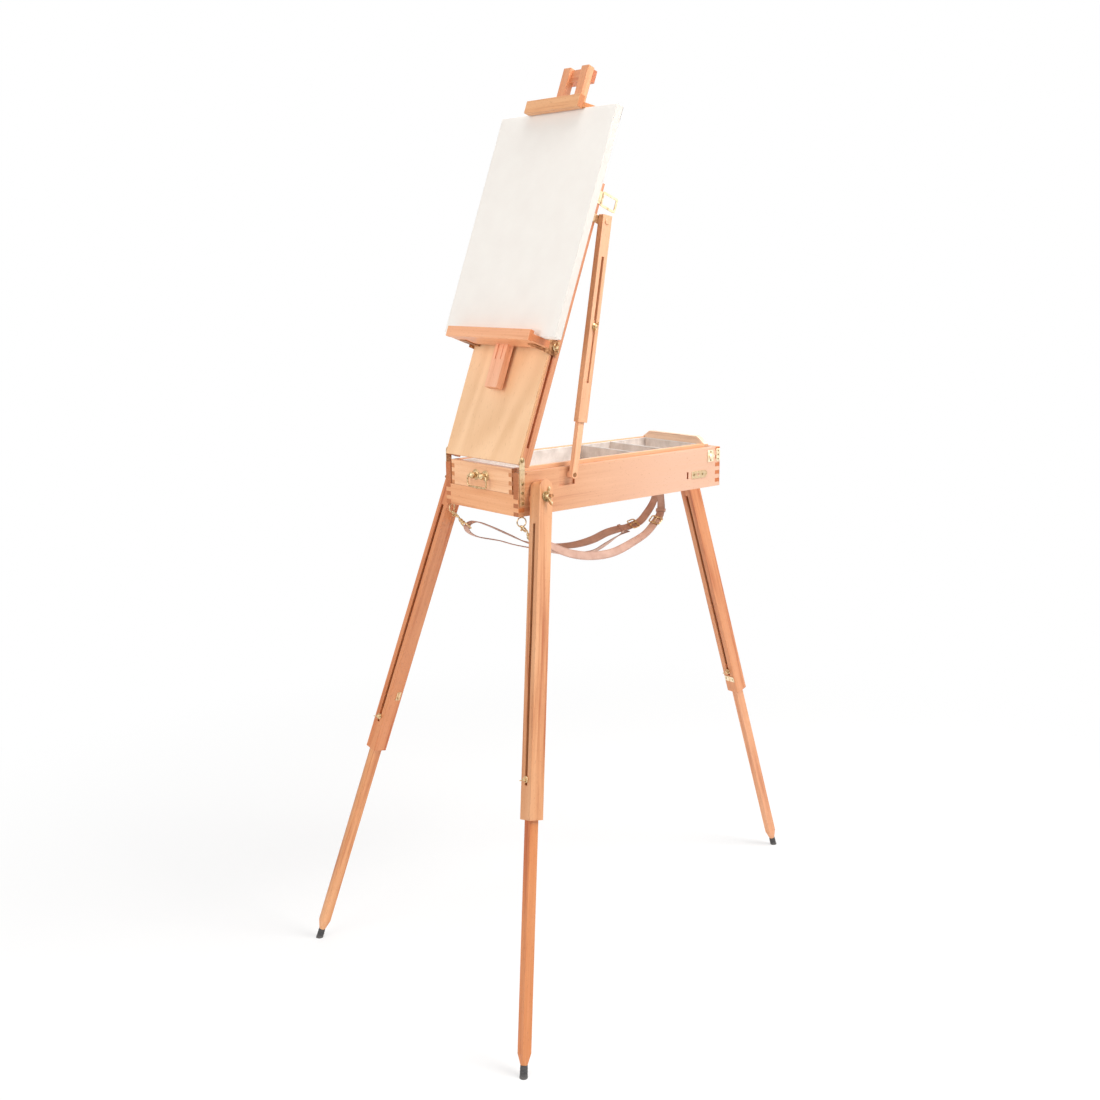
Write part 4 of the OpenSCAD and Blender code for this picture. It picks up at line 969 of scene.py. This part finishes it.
strap_fittings = buckle(right_course, 14, 1) + buckle(left_course, 7, -1)
keeper(right_course, 15, "strap_right_keeper")
keeper(left_course, 8, "strap_left_keeper")

RING_X, RING_Y, RING_Z, RING_R = 98, 9, 859.4, 8
HOOK_IN, HOOK_Y, HOOK_Z = 4.5, 41, 819
SLOT_BAR = bent([(-10.5, 0, 0), (10.5, 0, 0), (10.5, 0, 11), (3.2, 0, 15), (-3.2, 0, 15),
                 (-10.5, 0, 11)], 2.4, closed=True)
SWIVEL = [(12.6, 0), (12.6, 3.2), (13.4, 4.0), (15.6, 4.0), (16.4, 3.0), (18.2, 2.6), (19.0, 3.6),
          (21.0, 3.8), (23.4, 3.0), (25.8, 1.8), (25.8, 0)]
THUMB_STUD = [(0, 0), (0, 1.4), (2.2, 1.6), (2.8, 1.1), (2.8, 0)]
turn = np.linspace(0, 2 * np.pi, 48, endpoint=False)
ring_turn = math.radians(70)
for side in (-1, 1):
    away = np.array([side * math.cos(ring_turn), math.sin(ring_turn), 0])
    loop_path = (np.cos(turn)[:, None] * away + np.sin(turn)[:, None] * UP) * RING_R
    ring_seat = box_frame.facing((side * RING_X, RING_Y, RING_Z))
    hook_bar = np.array([side * (RING_X - HOOK_IN), HOOK_Y, HOOK_Z])
    to_ring = np.array([side * (RING_X - 0.6), RING_Y + 1, RING_Z - RING_R]) - hook_bar
    reach = np.linalg.norm(to_ring)
    hook = box_frame.facing(hook_bar, (1, 0, 0), to_ring)
    claw = bent([(0, 0, 24), (4.8, 0, reach - 13), (5.2, 0, reach - 3), (0, 0, reach + 2.6),
                 (-5.2, 0, reach - 3), (-4.8, 0, reach - 11), (-0.5, 0, reach - 15)], 3.2)
    stud = hook.facing((-5.0, -1.2, reach - 8), (1, 0, 0), (0, -1, 0))
    ring_plate = box_frame.facing((side * RING_X, RING_Y, 868))
    strap_fittings += [wire(ring_seat, loop_path, 1.1, np.cross(away, UP), closed=True),
                       wire(hook, SLOT_BAR, 1.5, (0, 1, 0), closed=True), turned(hook, SWIVEL, 28),
                       wire(hook, claw, 1.6, (0, 1, 0)), turned(stud, THUMB_STUD, 16),
                       plate(ring_plate, oblong(-3, 3, -3, 3, 1), 1)]
STRAP_SCREWS, STRAP_SCREW_Z = ((36, 419), (-34, 478)), 888.5
for x, y in STRAP_SCREWS:
    underneath = box_frame.facing((x, y, STRAP_SCREW_Z), (1, 0, 0), (0, 0, -1))
    strap_fittings += screw(underneath, 4, 1.4, 0.8)
piece("strap_fittings", "box", cast_brass, strap_fittings, ["strap_metal"])

# The stage: a pale paper floor that shades off to white, in plain soft light from four square
# lamps and a white surround that is dimmer on the object than it looks.
FLOOR_HALF, SURROUND = 14.0, 0.46
corners = [(x * FLOOR_HALF, y * FLOOR_HALF, 0) for x, y in ((-1, -1), (1, -1), (1, 1), (-1, 1))]
floor_mesh = bpy.data.meshes.new("floor")
floor_mesh.from_pydata(corners, [], [(0, 1, 2, 3)])
floor = linked("floor", floor_mesh)
paper = Finish("floor_paper", 0.9)
paper.set("Base Color", tint(250, 249, 248))
seen = paper.add("ShaderNodeLightPath", {}, out="Is Camera Ray")
away = paper.add("ShaderNodeVectorMath", {"operation": "LENGTH"}, paper.coords(), out="Value")
glow = paper.add("ShaderNodeEmission", {}, (1, 1, 1, 1), 1.0)
white_share = seen * (away.step(0.7, 1.9) * 0.4 + 0.6)
lit = paper.add("ShaderNodeMixShader", {}, white_share, Wire(paper, paper.skin.outputs[0]), glow)
paper.join(lit, paper.tree.nodes["Material Output"].inputs["Surface"])
floor_mesh.materials.append(paper.material)

world = bpy.data.worlds.new("studio")
world.use_nodes = True
bpy.context.scene.world = world
sky = Shader(world.node_tree)
surround = sky.tree.nodes["Background"]
straight = sky.add("ShaderNodeLightPath", {}, out="Is Camera Ray")
glossy = sky.add("ShaderNodeLightPath", {}, out="Is Glossy Ray")
in_view = straight.maths("MAXIMUM", straight, glossy)
sky.join(in_view * (1 - SURROUND) + SURROUND, surround.inputs["Strength"])
sky.join((1, 1, 1, 1), surround.inputs["Color"])


def matrix(x, y, z, place):
    """Three directions and a place as the matrix of a lamp or a camera."""
    return Matrix([[x[i], y[i], z[i], place[i]] for i in range(3)] + [[0, 0, 0, 1]])


def softbox(name, place, target, size, power):
    """A square area lamp that faces its target."""
    data = bpy.data.lights.new(name, "AREA")
    data.size = size
    data.energy = power
    away = unit(np.subtract(place, target))
    side = unit(np.cross(UP, away))
    linked(name, data).matrix_world = matrix(side, np.cross(away, side), away, place)


softbox("key", (1.9, 0.8, 3.1), (0, 0, 0.9), 1.3, 72)
softbox("rear", (2.8, 2.4, 1.7), (0, 0.2, 0.9), 1.8, 14)
softbox("top", (0.4, 0.2, 3.4), (0, 0, 0.9), 1.4, 26)
softbox("fill", (0.2, -3.2, 1.9), (0, 0, 0.9), 1.8, 38)

# The camera stands to the painter's right at about head height, looks a little down and is
# turned, tipped and rolled by these angles from a level look along the depth of the easel.
CAMERA_AT = (1.8090, -1.7300, 1.2758)
YAW, PITCH, ROLL = (math.radians(a) for a in (49.12, 11.82, 0.44))
lens = bpy.data.cameras.new("camera")
lens.lens = 43.71
lens.sensor_width = 36.0
camera = linked("camera", lens)
forward = np.array([-math.sin(YAW) * math.cos(PITCH), math.cos(YAW) * math.cos(PITCH),
                    -math.sin(PITCH)])
level_right = np.array([math.cos(YAW), math.sin(YAW), 0])
level_down = np.cross(forward, level_right)
right = math.cos(ROLL) * level_right + math.sin(ROLL) * level_down
down = -math.sin(ROLL) * level_right + math.cos(ROLL) * level_down
camera.matrix_world = matrix(right, -down, -forward, CAMERA_AT)
bpy.context.scene.camera = camera
bpy.context.scene.view_settings.view_transform = "Standard"
